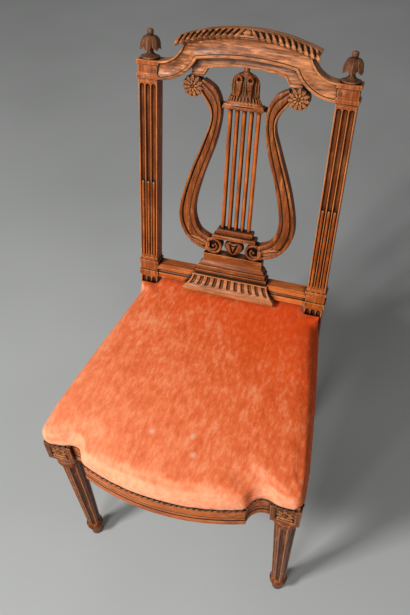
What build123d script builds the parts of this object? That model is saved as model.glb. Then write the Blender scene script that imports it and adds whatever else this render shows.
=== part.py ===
from build123d import *
from math import asin, atan2, cos, degrees, hypot, pi, radians, sin, sqrt, tan
import os

# Side chair with a lyre back, in millimetres. X runs to the right as seen from the front, Y to the back
# and Z up, with the floor at Z = 0. Places on the raked back are given by X, by the height along the rake
# and by the depth behind the front face of the stile blocks.

# Whole chair
front_leg_x = 206.0
front_leg_y = -216.4
back_rake = 14.25
back_set = 234.5
stile_x = 169.0

# Heights of the seat frame and its cover
rail_bottom = 354.0
rail_top = 412.0
cover_edge = 402.0
cover_thickness = 2.5
rebate = 3.0
soft_clearance = 0.3

# Front legs: square block, collar, tapered fluted shaft, bulb and toe
block_width = 51.0
block_bottom = 344.0
panel_width = 34.0
panel_height = 38.0
panel_depth = 3.0
panel_petals = 8
panel_petal_radius = 4.6
panel_margin = 1.0
panel_relief = 2.0
collar_radius = 22.5
collar_middle = 326.0
collar_height = 12.0
collar_neck_radius = 18.0
shaft_top_radius = 20.5
shaft_foot_radius = 14.0
bulb_radius = 17.5
bulb_middle = 38.0
bulb_height = 16.0
toe_radius = 11.5
leg_flutes = 6
leg_flats = 16
flute_top_radius = 6.0
flute_foot_radius = 4.2
flute_end_margin = 6.0
flute_flats = 6
flute_end_share = 0.25

# Bowed front rail with a scoop at each end
bow_front = 72.0
bow_radius = 425.0
scoop_x = 173.0
scoop_front = 46.0
scoop_radius = 28.0
front_rail_back = 12.0
front_rail_hollow = 34.0
bead_height = 13.0
groove_height = 2.5
groove_depth = 2.0
band_height = 6.0
face_set = 0.8

# Side and rear rails, tenons and corner blocks
side_rail_thickness = 28.0
side_rear_x = 188.0
side_swell = 2.5
rear_rail_set = 8.0
rear_rail_thickness = 26.0
tenon_thickness = 10.0
tenon_length = 22.0
tenon_shoulder = 7.0
back_tenon_length = 12.0
corner_leg = 62.0
corner_height = 28.0
corner_rise = 10.0

# Seat: webbing, hessian, pad and velvet
web_width = 50.0
web_thickness = 1.5
web_lengthwise = 5
web_crosswise = 4
web_gap = 12.0
hessian_thickness = 1.0
hessian_inset = 8.0
crown_top = 459.0
crown_radius = 1700.0
crown_middle = 190.0
seat_back_roll = 0.25
crown_rings = (60.0, 130.0, 200.0, 340.0)
crown_flats = 16
# How far the seat's side stands in or out at each rise above the cover's lower edge
seat_profile = ((0, 0), (12, -1.5), (24, -0.7), (34, 2.4), (43, 8.2), (62, 26.0))

# Rear legs: stile above the seat, square leg below
stile_width = 34.0
stile_front = 2.0
stile_depth = 28.0
leg_width = 36.0
leg_depth = 38.0
foot_kick = 34.0
foot_depth = 27.0
base_rise = 61.42
base_height = 40.0
shaft_length = 345.0
cap_block_height = 35.0
moulding_height = 6.0
moulding_grow = 3.0
base_moulding_height = 12.0
block_grow = 1.5
stile_flutes = 3
stile_flute_radius = 4.2
stile_flute_pitch = 10.6
flute_rest = 4.0
reed_radius = 3.1
reed_sink = 1.6
reed_length = 163.0

# Finials
finial_disc_radius = 17.0
finial_disc_height = 5.0
finial_cove_radius = 8.0
finial_neck_radius = 5.0
finial_neck_height = 10.0
finial_rim_height = 18.0
finial_lip_radius = 13.0
finial_lip_drop = 2.5
finial_dome_radius = 16.5
finial_swell_radius = 13.5
finial_swell_height = 32.5
finial_dome_height = 39.0
finial_button_neck = 3.0
finial_button_radius = 5.0
finial_height = 47.0
finial_spigot_radius = 5.0
finial_spigot_length = 16.0
finial_flats = 10

# Crest rail and its gadrooned cap
crest_front = 3.0
crest_depth = 27.0
crest_end_height = 31.0
shoulder_low_radius = 75.0
shoulder_high_radius = 46.0
crest_corner_x = 82.0
crest_arch_rise = 21.0
crest_middle_height = 32.5
crest_top_radius = 323.0
crest_edge_width = 6.5
crest_edge_proud = 2.5
crest_band_set = 11.0
crest_band_drop = 14.0
crest_band_x = 66.0
crest_ear_drop = 25.0
crest_ear_in = 70.0
crest_ear_out = 94.0
crest_tenon_height = 18.0
cap_moulding_half = 115.0
cap_moulding_height = 9.5
cap_moulding_proud = 7.0
cap_moulding_depth = 38.0
cap_lip = 2.0
cap_nose_depth = 10.0
gadroon_radius = 5.0
gadroon_sink = 2.8
gadroon_length = 15.0
gadroons = 10
gadroon_slant = 37.0

# Lower back rail
low_rail_height = 27.0
low_rail_depth = 30.0
low_rail_fillet = 10.0
low_rail_cove = 4.0
low_rail_nose = 9.0

# Lyre
lyre_front = 14.0
lyre_depth = 16.0
rosette_x = 91.0
rosette_drop = 18.0
rosette_radius = 19.0
rosette_thickness = 6.0
rosette_margin = 1.0
rosette_petals = 10
rosette_petal_ring = 12.5
rosette_petal_radius = 7.0
rosette_petal_flats = 6
rosette_petal_height = 4.0
rosette_button_radius = 5.5
volute_x = 40.0
volute_radius = 17.0
volute_proud = 4.0
volute_eye = 7.0
volute_eye_proud = 2.0
plinth_height = 44.0
plinth_half = 58.0
plinth_foot_half = 71.0
plinth_foot_height = 6.0
plinth_tread_half = 66.0
plinth_tread_height = 11.0
plinth_tread_front = 5.0
plinth_neck_half = 61.5
plinth_neck_height = 4.0
plinth_neck_front = 7.5
plinth_cornice = 2.5
plinth_cornice_height = 4.0
plinth_front = 9.0
plinth_foot_front = 3.0
plinth_back = 31.0
apron_drop = 8.0
apron_fillet_height = 11.0
apron_top_fillet = 6.0
apron_half = 92.0
apron_top_half = 76.0
apron_proud = 15.0
apron_top_proud = 6.0
apron_flutes = 12
apron_flute_radius = 4.6
apron_step = 1.0
boss_half = 18.0
boss_margin = 1.0
string_base_half = 42.0
string_base_top_half = 35.0
string_base_front = 9.0
string_base_back = 33.0
string_step_height = 9.0
string_neck_height = 2.0
string_neck_set = 4.0
strings = 5
string_pitch = 12.5
string_radius = 3.9
string_tenon = 5.0
string_flats = 12
capital_height = 64.5
capital_slab_height = 9.0
capital_bell_set = 2.0
capital_half = 36.0
capital_front = 6.0
capital_back = 27.0
capital_bead_height = 11.0
capital_waist_half = 24.5
capital_crown_half = 22.5
capital_brow_height = 9.0
capital_waist_depth = 17.0
capital_crown_depth = 15.0
capital_flats = 10
capital_bead_radius = 5.5
yoke_depth = 6.0
yoke_height = 8.0
yoke_tenon = 6.0

# Edges of a lyre arm: places across, and heights as shares of the way from volute to rosette
arm_inner_curve = ((50, 0.993), (39, 0.882), (46, 0.693), (69, 0.443), (81, 0.237), (71, 0.101))
arm_outer_curve = ((84, -0.003), (106, 0.098), (111, 0.223), (97, 0.432), (69, 0.693), (60, 0.878))
arm_scroll_in = 18.0
arm_scroll_rise = 13.0
arm_curl_in = 8.0
arm_curl_rise = 15.0

# Pegs through the joints of the back
peg_radius = 2.5
peg_flats = 8
peg_inset = 6.0

# Places that follow from the sizes above
rake = radians(back_rake)
back_floor_y = front_leg_y + back_set
block_front = front_leg_y - block_width / 2
block_rear = front_leg_y + block_width / 2
block_inner = front_leg_x - block_width / 2
block_outer = front_leg_x + block_width / 2
bow_centre_y = front_leg_y - bow_front + bow_radius
scoop_y = front_leg_y - scoop_front
leg_front_y = back_floor_y + rail_top * tan(rake) + stile_front / cos(rake)
rear_rail_front = leg_front_y + rear_rail_set
seat_back_y = rear_rail_front + rear_rail_thickness + cover_thickness
pad_floor = rail_top + 2 * web_thickness + hessian_thickness
seat_w = rail_top / cos(rake) + stile_front * tan(rake)
base_bottom = seat_w + base_rise
base_top = base_bottom + base_height
reed_top = base_top + reed_length
cap_bottom = base_top + shaft_length
cap_top = cap_bottom + cap_block_height
crest_end_top = cap_top
crest_end_bottom = crest_end_top - crest_end_height
crest_arch = crest_end_top + crest_arch_rise
crest_top = crest_arch + crest_middle_height
crest_band_low = crest_arch - crest_band_drop
crest_ear_low = crest_band_low - crest_ear_drop
rosette_w = crest_ear_low - rosette_drop
capital_top = crest_band_low - capital_bead_height
capital_low = capital_top - capital_height
low_rail_bottom = base_bottom
low_rail_top = low_rail_bottom + low_rail_height
plinth_top = low_rail_top + plinth_height
apron_bottom = low_rail_bottom - apron_drop
volute_w = plinth_top + volute_radius
string_base_low = plinth_top + 2 * volute_radius
string_base_top = string_base_low + 2 * string_step_height + string_neck_height
stile_inner = stile_x - stile_width / 2
block_face = stile_inner - block_grow
lyre_middle = lyre_front + lyre_depth / 2
capital_middle = (capital_front + capital_back) / 2

# Directions on the raked back
across_way = Vector(1, 0, 0)
up_way = Vector(0, sin(rake), cos(rake))
depth_way = Vector(0, cos(rake), -sin(rake))
# The raked back, seen from the front: X across and the height along the rake
back = Plane(origin=(0, back_floor_y, 0), x_dir=(1, 0, 0), z_dir=(0, -cos(rake), sin(rake)))
# The raked back, seen from its right end: depth across and the height along the rake
back_end = Plane(origin=(0, back_floor_y, 0), x_dir=(0, cos(rake), -sin(rake)), z_dir=(1, 0, 0))


def behind(depth):
    """The plane parallel to the back's front face, at a depth behind it."""
    return back.offset(-depth)


def across(height):
    """The plane square to the rake at a height along it, with X across and depth up the page."""
    origin = (0, back_floor_y + height * sin(rake), height * cos(rake))
    return Plane(origin=origin, x_dir=(1, 0, 0), z_dir=(0, sin(rake), cos(rake)))


def keep(builder, name):
    """Labels a finished piece and writes it to its own file."""
    builder.part.label = name
    export_step(builder.part, f"parts/{name}.step")


def slab(half_width, front, rear, low, high):
    """A plain member of the back, square to the rake, inside the part that is open."""
    with BuildSketch(across(low)) as section:
        with Locations((0, (front + rear) / 2)):
            Rectangle(2 * half_width, rear - front)
    extrude(section.sketch, amount=high - low)


def slope(low_half, low_front, high_half, high_front, rear, low, high):
    """A member of the back that narrows upwards, inside the part that is open."""
    with BuildPart(mode=Mode.PRIVATE) as band:
        with BuildSketch(back_end.offset(-low_half)):
            with BuildLine():
                Polyline((rear, low), (low_front, low), (high_front, high), (rear, high), close=True)
            make_face()
        extrude(amount=2 * low_half)
        for side in (-1, 1):
            foot = back.from_local_coords((side * low_half, low, 0))
            lean = across_way * (side * (high - low)) + up_way * (low_half - high_half)
            split(bisect_by=Plane(foot, z_dir=lean), keep=Keep.BOTTOM)
    add(band.part)


def taper(foot_radius, head_radius, length, flats):
    """The slope, in degrees, of a polygon's flats as it grows or shrinks over a length."""
    return degrees(atan2((foot_radius - head_radius) * cos(pi / flats), length))


def turned(place, bands, flats):
    """Bands of a turned form on a plane, each between two heights and radii, inside the part that is open."""
    for low, low_radius, high, high_radius in bands:
        with BuildSketch(place.offset(low)) as section:
            RegularPolygon(low_radius, flats)
        extrude(section.sketch, amount=high - low, taper=taper(low_radius, high_radius, high - low, flats))


def flute(place, length, foot_radius, head_radius):
    """Cuts a flute along a plane's normal, with drawn-in ends, inside the part that is open."""
    with BuildSketch(place) as section:
        RegularPolygon(foot_radius, flute_flats)
    slant = taper(foot_radius, head_radius, length, flute_flats)
    extrude(section.sketch, amount=length, taper=slant, mode=Mode.SUBTRACT)
    for end, radius in ((-place, foot_radius), (place.offset(length), head_radius)):
        with BuildSketch(end) as tip:
            RegularPolygon(radius, flute_flats)
        slant = taper(radius, radius * flute_end_share, radius, flute_flats)
        extrude(tip.sketch, amount=radius, taper=slant, mode=Mode.SUBTRACT)


def front_line(inset):
    """The seat's front in plan, set in by a distance: bow and scoops, inside the line that is open."""
    bow = bow_radius - inset
    scoop = scoop_radius + inset
    span = hypot(scoop_x, bow_centre_y - scoop_y)
    along = (bow ** 2 - scoop ** 2 + span ** 2) / (2 * span)
    aside = sqrt(bow ** 2 - along ** 2)
    ux, uy = scoop_x / span, (scoop_y - bow_centre_y) / span
    corner_x = along * ux + aside * uy
    corner_y = bow_centre_y + along * uy - aside * ux
    start = atan2(corner_y - scoop_y, corner_x - scoop_x) % (2 * pi)
    middle = (start + pi / 2) / 2
    ThreePointArc((-corner_x, corner_y), (0, bow_centre_y - bow), (corner_x, corner_y))
    for side in (-1, 1):
        half_way = (side * (scoop_x + scoop * cos(middle)), scoop_y + scoop * sin(middle))
        ThreePointArc((side * corner_x, corner_y), half_way, (side * scoop_x, scoop_y + scoop))


def side_arc(side, inset):
    """The seat's side in plan, from the front block to the rear leg, inside the line that is open."""
    middle_x = (block_outer + side_rear_x) / 2 + side_swell - inset
    ThreePointArc(
        (side * (block_outer - inset), block_rear),
        (side * middle_x, (block_rear + leg_front_y) / 2),
        (side * (side_rear_x - inset), leg_front_y),
    )


def seat_line(roll, shrink):
    """The velvet's outline in plan, rolled in and made smaller, inside the line that is open."""
    inset = roll + shrink
    back_y = seat_back_y - roll * seat_back_roll - shrink
    front_line(inset)
    flat_y = scoop_y + scoop_radius + inset
    step_x = block_inner + min(inset, rebate)
    for side in (-1, 1):
        Polyline(
            (side * scoop_x, flat_y),
            (side * step_x, flat_y),
            (side * step_x, block_front + inset),
            (side * (block_outer - inset), block_front + inset),
            (side * (block_outer - inset), block_rear),
        )
        side_arc(side, inset)
        Line((side * (side_rear_x - inset), leg_front_y), (side * (side_rear_x - inset), back_y))
    Line((side_rear_x - inset, back_y), (inset - side_rear_x, back_y))


def seat_form(shrink):
    """The crowned seat over the rails, made smaller by a distance, inside the part that is open."""
    faces = []
    for rise, inset in seat_profile:
        with BuildSketch(Plane.XY.offset(cover_edge + rise)) as section:
            with BuildLine():
                seat_line(inset, shrink)
            make_face()
        faces.append(section.sketch)
    loft(faces, ruled=True)
    with BuildPart(mode=Mode.PRIVATE) as dome:
        top = crown_top - shrink + crown_rings[0] ** 2 / (2 * crown_radius)
        rises = [top - ring ** 2 / (2 * crown_radius) for ring in crown_rings]
        bands = [(cover_edge, crown_rings[-1], rises[-1], crown_rings[-1])]
        for step in range(len(crown_rings) - 1, 0, -1):
            bands.append((rises[step], crown_rings[step], rises[step - 1], crown_rings[step - 1]))
        turned(Plane((0, front_leg_y + crown_middle, 0)), bands, crown_flats)
    add(dome.part, mode=Mode.INTERSECT)


def clear_stiles():
    """Cuts the open seat piece back from the two stiles."""
    reach = block_outer
    inner = stile_x - leg_width / 2 - moulding_grow - soft_clearance
    for side in (-1, 1):
        with BuildSketch(behind(-soft_clearance)) as corner:
            with Locations((side * (inner + reach) / 2, crown_top)):
                Rectangle(reach - inner, crown_top)
        extrude(corner.sketch, amount=-2 * leg_depth, mode=Mode.SUBTRACT)


def tenon(x, y, z_low, z_high, length_x, length_y):
    """A seat rail's tenon, standing from a place by a length along X or Y, inside the part that is open."""
    with BuildSketch(Plane.XY.offset(z_low)) as section:
        with Locations((x + length_x / 2, y + length_y / 2)):
            Rectangle(abs(length_x) or tenon_thickness, abs(length_y) or tenon_thickness)
    extrude(section.sketch, amount=z_high - z_low)


os.makedirs("parts", exist_ok=True)
tenon_low = rail_bottom + tenon_shoulder
tenon_high = cover_edge - tenon_shoulder

# Front rail: the moulded face is a stack of the same plan at different insets
bead_top = rail_bottom + bead_height
band_low = bead_top + groove_height
band_top = band_low + band_height
face_low = band_top + groove_height
face_steps = (
    (rail_bottom, bead_top, 0),
    (bead_top, band_low, groove_depth),
    (band_low, band_top, face_set),
    (band_top, face_low, groove_depth),
    (face_low, cover_edge, face_set),
    (cover_edge, rail_top, rebate),
)
rail_inner_y = front_leg_y + front_rail_back
with BuildPart() as front_seat_rail:
    for low, high, inset in face_steps:
        flat_y = scoop_y + scoop_radius + inset
        with BuildSketch(Plane.XY.offset(low)):
            with BuildLine():
                front_line(inset)
                for side in (-1, 1):
                    Polyline(
                        (side * scoop_x, flat_y),
                        (side * block_inner, flat_y),
                        (side * block_inner, rail_inner_y),
                    )
                ThreePointArc(
                    (-block_inner, rail_inner_y),
                    (0, rail_inner_y - front_rail_hollow),
                    (block_inner, rail_inner_y),
                )
            make_face()
        extrude(amount=high - low)
    for side in (-1, 1):
        tenon(side * block_inner, front_leg_y, tenon_low, tenon_high, side * tenon_length, 0)

# Side rails: bowed a little outside, straight inside
with BuildPart() as side_seat_rail_right:
    for low, high, inset in ((rail_bottom, cover_edge, 0), (cover_edge, rail_top, rebate)):
        with BuildSketch(Plane.XY.offset(low)):
            with BuildLine():
                side_arc(1, inset)
                Polyline(
                    (side_rear_x - inset, leg_front_y),
                    (side_rear_x - side_rail_thickness, leg_front_y),
                    (block_outer - side_rail_thickness, block_rear),
                    (block_outer - inset, block_rear),
                )
            make_face()
        extrude(amount=high - low)
    tenon_x = block_outer - side_rail_thickness / 2
    tenon(tenon_x, block_rear, tenon_low, tenon_high, 0, -tenon_length)
    tenon(stile_x + tenon_thickness / 2, leg_front_y, tenon_low, tenon_high, 0, tenon_length)
with BuildPart() as side_seat_rail_left:
    mirror(side_seat_rail_right.part, about=Plane.YZ)

# Rear rail
leg_inner = stile_x - leg_width / 2
with BuildPart() as rear_seat_rail:
    with BuildSketch(Plane.XY.offset(rail_bottom)):
        with Locations((0, rear_rail_front + rear_rail_thickness / 2)):
            Rectangle(2 * leg_inner, rear_rail_thickness)
    extrude(amount=rail_top - rail_bottom)
    for side in (-1, 1):
        tenon_y = rear_rail_front + rear_rail_thickness - tenon_thickness / 2
        tenon(side * leg_inner, tenon_y, tenon_low, tenon_high, side * tenon_length, 0)

# Front legs
panel_middle = (block_bottom + cover_edge) / 2
collar_low = collar_middle - collar_height / 2
collar_high = collar_middle + collar_height / 2
bulb_low = bulb_middle - bulb_height / 2
bulb_high = bulb_middle + bulb_height / 2
flute_low = bulb_high + flute_end_margin + flute_foot_radius
flute_high = collar_low - flute_end_margin - flute_top_radius
neck_low = (2 * collar_high + block_bottom) / 3
neck_high = (collar_high + block_bottom) / 2
leg_bands = (
    (0, toe_radius, bulb_low, shaft_foot_radius),
    (bulb_low, shaft_foot_radius, bulb_middle - bulb_height / 6, bulb_radius),
    (bulb_middle - bulb_height / 6, bulb_radius, bulb_middle + bulb_height / 6, bulb_radius),
    (bulb_middle + bulb_height / 6, bulb_radius, bulb_high, shaft_foot_radius),
    (bulb_high, shaft_foot_radius, collar_low, shaft_top_radius),
    (collar_low, shaft_top_radius, collar_middle - collar_height / 6, collar_radius),
    (collar_middle - collar_height / 6, collar_radius, collar_middle + collar_height / 6, collar_radius),
    (collar_middle + collar_height / 6, collar_radius, collar_high, shaft_top_radius),
    (collar_high, shaft_top_radius, neck_low, collar_neck_radius),
    (neck_low, collar_neck_radius, neck_high, collar_neck_radius),
    (neck_high, collar_neck_radius, block_bottom, collar_radius),
)
leg_foot = Plane((front_leg_x, front_leg_y, 0))
panel_origin = (front_leg_x, block_front + panel_depth, panel_middle)
panel_plane = Plane(origin=panel_origin, x_dir=(1, 0, 0), z_dir=(0, -1, 0))
with BuildPart() as front_leg_right:
    turned(leg_foot, leg_bands, leg_flats)
    for step in range(leg_flutes):
        turn = 2 * pi * step / leg_flutes
        out = Vector(cos(turn), sin(turn), 0)
        foot = Vector(front_leg_x, front_leg_y, flute_low) + out * shaft_foot_radius
        head = Vector(front_leg_x, front_leg_y, flute_high) + out * shaft_top_radius
        flute_plane = Plane(foot, x_dir=out.cross(head - foot), z_dir=head - foot)
        flute(flute_plane, (head - foot).length, flute_foot_radius, flute_top_radius)
    with BuildSketch(Plane.XY.offset(block_bottom)):
        with Locations((front_leg_x, front_leg_y)):
            Rectangle(block_width, block_width)
    extrude(amount=cover_edge - block_bottom)
    with BuildSketch(Plane.XY.offset(cover_edge)):
        with Locations((front_leg_x, front_leg_y + rebate / 2)):
            Rectangle(block_width - 2 * rebate, block_width - rebate)
    extrude(amount=rail_top - cover_edge)
    with BuildSketch(panel_plane):
        Rectangle(panel_width, panel_height)
    extrude(amount=panel_depth, mode=Mode.SUBTRACT)
    with BuildSketch(panel_plane):
        RegularPolygon(panel_petal_radius, rosette_petal_flats)
        with PolarLocations(panel_width / 2 - panel_petal_radius - panel_margin, panel_petals):
            RegularPolygon(panel_petal_radius, rosette_petal_flats)
    extrude(amount=panel_relief)
    add(front_seat_rail.part, mode=Mode.SUBTRACT)
    add(side_seat_rail_right.part, mode=Mode.SUBTRACT)
with BuildPart() as front_leg_left:
    mirror(front_leg_right.part, about=Plane.YZ)

# Crest rail: moulded face with raised edges, and a plain band behind it that comes down to the lyre
crest_mid_low = crest_end_bottom + shoulder_low_radius
crest_corner_w = crest_mid_low - sqrt(shoulder_low_radius ** 2 - (block_face - crest_corner_x) ** 2)
crest_mid_high = crest_end_top + shoulder_high_radius
crest_top_middle = crest_top - crest_top_radius


def crest_top_w(x):
    """Height along the rake of the crest's top under its cap, at a place across."""
    return crest_top_middle + sqrt(crest_top_radius ** 2 - x ** 2)


# The shoulder's upper arc runs up to where it meets the top, found step by step
shoulder_turn = pi / 4
for attempt in range(40):
    reach = block_face - shoulder_high_radius * sin(shoulder_turn)
    gap = crest_top_w(reach) - (crest_mid_high - shoulder_high_radius * cos(shoulder_turn))
    shoulder_turn += gap / (2 * shoulder_high_radius)
shoulder_x = block_face - shoulder_high_radius * sin(shoulder_turn)
shoulder_w = crest_mid_high - shoulder_high_radius * cos(shoulder_turn)
corner_turn = asin((block_face - crest_corner_x) / shoulder_low_radius)


def crest_face(end_x):
    """The outline of the crest's moulded face, with its ends run out to a place, inside the sketch open."""
    with BuildLine() as outline:
        for side in (-1, 1):
            low_x = block_face - shoulder_low_radius * sin(corner_turn / 2)
            low_w = crest_mid_low - shoulder_low_radius * cos(corner_turn / 2)
            high_x = block_face - shoulder_high_radius * sin(shoulder_turn / 2)
            high_w = crest_mid_high - shoulder_high_radius * cos(shoulder_turn / 2)
            ThreePointArc(
                (side * crest_corner_x, crest_corner_w),
                (side * low_x, low_w),
                (side * block_face, crest_end_bottom),
            )
            Polyline(
                (side * block_face, crest_end_bottom),
                (side * end_x, crest_end_bottom),
                (side * end_x, crest_end_top),
                (side * block_face, crest_end_top),
            )
            ThreePointArc(
                (side * block_face, crest_end_top), (side * high_x, high_w), (side * shoulder_x, shoulder_w)
            )
        ThreePointArc((-shoulder_x, shoulder_w), (0, crest_top), (shoulder_x, shoulder_w))
        ThreePointArc((-crest_corner_x, crest_corner_w), (0, crest_arch), (crest_corner_x, crest_corner_w))
    make_face(outline.line)


crest_room = 3 * (crest_top - crest_end_bottom)
crest_run_out = block_face + 3 * crest_edge_width
crest_middle_w = (crest_end_bottom + crest_end_top) / 2
ear_top = crest_corner_w + crest_edge_width
crest_band_end = crest_ear_low + (crest_band_low - crest_ear_low) * 2 / 3
with BuildPart() as crest_rail:
    with BuildSketch(behind(crest_front)):
        crest_face(crest_run_out)
        with Locations((0, crest_arch)):
            Rectangle(2 * block_face, crest_room, mode=Mode.INTERSECT)
    extrude(amount=-crest_depth)
    with BuildSketch(behind(crest_front + crest_band_set)):
        with BuildLine():
            band_ends = ((-crest_band_x, crest_band_end), (crest_band_x, crest_band_end))
            ThreePointArc(band_ends[0], (0, crest_band_low), band_ends[1])
            for side in (-1, 1):
                Polyline(
                    (side * crest_band_x, crest_band_end),
                    (side * crest_ear_in, crest_ear_low),
                    (side * crest_ear_out, crest_ear_low),
                    (side * crest_ear_out, ear_top),
                )
            ear_ends = ((-crest_ear_out, ear_top), (crest_ear_out, ear_top))
            ThreePointArc(ear_ends[0], (0, crest_arch + crest_edge_width), ear_ends[1])
        make_face()
    extrude(amount=-(crest_depth - crest_band_set))
    with BuildSketch(behind(crest_front)):
        crest_face(crest_run_out)
        with BuildSketch(mode=Mode.PRIVATE) as crest_field:
            crest_face(crest_run_out)
            offset(amount=-crest_edge_width, kind=Kind.INTERSECTION)
        add(crest_field.sketch, mode=Mode.SUBTRACT)
        with Locations((0, crest_arch)):
            Rectangle(2 * block_face, crest_room, mode=Mode.INTERSECT)
    extrude(amount=crest_edge_proud)
    for side in (-1, 1):
        with BuildSketch(behind(crest_front + crest_depth / 2 - tenon_thickness / 2)):
            with Locations((side * (block_face + back_tenon_length / 2), crest_middle_w)):
                Rectangle(back_tenon_length, crest_tenon_height)
        extrude(amount=-tenon_thickness)

# Lower back rail
low_rail_rear = stile_front + low_rail_depth
low_rail_middle = (low_rail_bottom + low_rail_top) / 2
with BuildPart() as lower_back_rail:
    with BuildSketch(back_end.offset(-block_face)):
        with BuildLine():
            nose_low = low_rail_top - low_rail_nose
            cove_low = low_rail_bottom + low_rail_fillet
            Polyline(
                (low_rail_rear, low_rail_top),
                (low_rail_rear, low_rail_bottom),
                (stile_front, low_rail_bottom),
                (stile_front, cove_low),
            )
            ThreePointArc(
                (stile_front, cove_low),
                (stile_front + low_rail_cove, (cove_low + nose_low) / 2),
                (stile_front, nose_low),
            )
            Line((stile_front, nose_low), (stile_front, low_rail_top - low_rail_nose / 2))
            Line((stile_front, low_rail_top - low_rail_nose / 2), (stile_front + low_rail_cove, low_rail_top))
            Line((stile_front + low_rail_cove, low_rail_top), (low_rail_rear, low_rail_top))
        make_face()
    extrude(amount=2 * block_face)
    for side in (-1, 1):
        with BuildSketch(behind(stile_front + low_rail_depth / 2 - tenon_thickness / 2)):
            with Locations((side * (block_face + back_tenon_length / 2), low_rail_middle)):
                Rectangle(back_tenon_length, low_rail_top - low_rail_bottom - tenon_shoulder)
        extrude(amount=-tenon_thickness)

# Finials: turned upright about Z from the foot of the disc, then set on the stile's own axis
stile_middle = stile_front + stile_depth / 2
finial_place = Plane(
    origin=across(cap_top).from_local_coords((stile_x, stile_middle, 0)),
    x_dir=(1, 0, 0),
    z_dir=across(cap_top).z_dir,
)
finial_bands = (
    (-finial_spigot_length, finial_spigot_radius, 0, finial_spigot_radius),
    (0, finial_disc_radius, finial_disc_height / 2, finial_disc_radius),
    (finial_disc_height / 2, finial_disc_radius, finial_disc_height * 3 / 2, finial_cove_radius),
    (finial_disc_height * 3 / 2, finial_cove_radius, finial_neck_height, finial_neck_radius),
    (finial_neck_height, finial_neck_radius, finial_rim_height, finial_neck_radius),
    (finial_rim_height - finial_lip_drop, finial_lip_radius, finial_rim_height, finial_dome_radius),
    (finial_rim_height, finial_dome_radius, finial_swell_height, finial_swell_radius),
    (finial_swell_height, finial_swell_radius, finial_dome_height, finial_button_neck),
    (finial_dome_height, finial_button_neck, finial_height - finial_button_radius, finial_button_radius),
    (finial_height - finial_button_radius, finial_button_radius, finial_height, finial_button_neck),
)
with BuildPart() as finial_turning:
    turned(Plane.XY, finial_bands, finial_flats)
with BuildPart() as finial_right:
    with Locations(finial_place.location):
        add(finial_turning.part)
with BuildPart() as finial_left:
    mirror(finial_right.part, about=Plane.YZ)

# Pegs through the tenons of the crest and the lower rail
peg_x = block_face + peg_inset
with BuildPart() as joint_pegs:
    for peg_w in (crest_middle_w, low_rail_middle):
        with BuildSketch(behind(0)):
            with Locations((-peg_x, peg_w), (peg_x, peg_w)):
                RegularPolygon(peg_radius, peg_flats)
        extrude(amount=-(stile_front + stile_depth))
for rail in (crest_rail, lower_back_rail):
    with rail:
        add(joint_pegs.part, mode=Mode.SUBTRACT)

# Rear legs: one length from the floor to the top block
shaft_rear = stile_front + stile_depth


def back_spot(depth, height):
    """The Y and Z of a place on the back, from its depth and its height along the rake."""
    return (
        back_floor_y + height * sin(rake) + depth * cos(rake),
        height * cos(rake) - depth * sin(rake),
    )


with BuildPart() as rear_leg_right:
    with BuildSketch(Plane.YZ.offset(stile_x - stile_width / 2)):
        with BuildLine():
            front_top = back_spot(stile_front, cap_top)
            rear_top = back_spot(shaft_rear, cap_top)
            rear_bend = back_spot(shaft_rear, base_bottom)
            Polyline(rear_bend, rear_top, front_top, (leg_front_y, rail_top), (leg_front_y, rail_bottom))
            Spline(
                (leg_front_y, rail_bottom),
                (leg_front_y + foot_kick, 0),
                tangents=((0, -1), (foot_kick, -rail_bottom / 2)),
            )
            Line((leg_front_y + foot_kick, 0), (leg_front_y + foot_kick + foot_depth, 0))
            Spline(
                (leg_front_y + foot_kick + foot_depth, 0),
                (leg_front_y + leg_depth, rail_bottom),
                tangents=((-foot_kick, rail_bottom / 2), (0, 1)),
            )
            Spline(
                (leg_front_y + leg_depth, rail_bottom),
                (leg_front_y + leg_depth, rail_top),
                rear_bend,
                tangents=((0, 1), (sin(rake), cos(rake))),
            )
        make_face()
    extrude(amount=stile_width)
    # Blocks and their mouldings: low end, high end, how far they stand out
    members = (
        (base_bottom, base_bottom + base_moulding_height, moulding_grow),
        (base_bottom + base_moulding_height, base_top - 2 * moulding_height, block_grow),
        (base_top - 2 * moulding_height, base_top - moulding_height, moulding_grow),
        (base_top - moulding_height, base_top, block_grow),
        (cap_bottom, cap_bottom + moulding_height, block_grow / 2),
        (cap_bottom + moulding_height, cap_bottom + 2 * moulding_height, moulding_grow),
        (cap_bottom + 2 * moulding_height, cap_top - moulding_height, block_grow),
        (cap_top - moulding_height, cap_top, moulding_grow),
    )
    for low, high, grow in members:
        with BuildSketch(across(low)):
            with Locations((stile_x, stile_middle)):
                Rectangle(stile_width + 2 * grow, stile_depth + 2 * min(grow, stile_front))
        extrude(amount=high - low)
    # Flutes, round at their tops, with a reed in the lower part of each
    for step in range(stile_flutes):
        flute_x = stile_x + (step - (stile_flutes - 1) / 2) * stile_flute_pitch
        runs = (
            (base_top + flute_rest + stile_flute_radius, cap_bottom - flute_rest - stile_flute_radius),
            (seat_w, base_bottom - flute_rest - stile_flute_radius),
        )
        for low, high in runs:
            flute_plane = across(low)
            foot = flute_plane.from_local_coords((flute_x, stile_front, 0))
            stile_line = Plane(foot, x_dir=(1, 0, 0), z_dir=flute_plane.z_dir)
            flute(stile_line, high - low, stile_flute_radius, stile_flute_radius)
        with BuildSketch(across(base_top)):
            with Locations((flute_x, stile_front + reed_sink)):
                RegularPolygon(reed_radius, flute_flats)
        extrude(amount=reed_top - base_top)
    add(crest_rail.part, mode=Mode.SUBTRACT)
    add(lower_back_rail.part, mode=Mode.SUBTRACT)
    add(joint_pegs.part, mode=Mode.SUBTRACT)
    add(side_seat_rail_right.part, mode=Mode.SUBTRACT)
    add(rear_seat_rail.part, mode=Mode.SUBTRACT)
    add(finial_right.part, mode=Mode.SUBTRACT)
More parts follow.
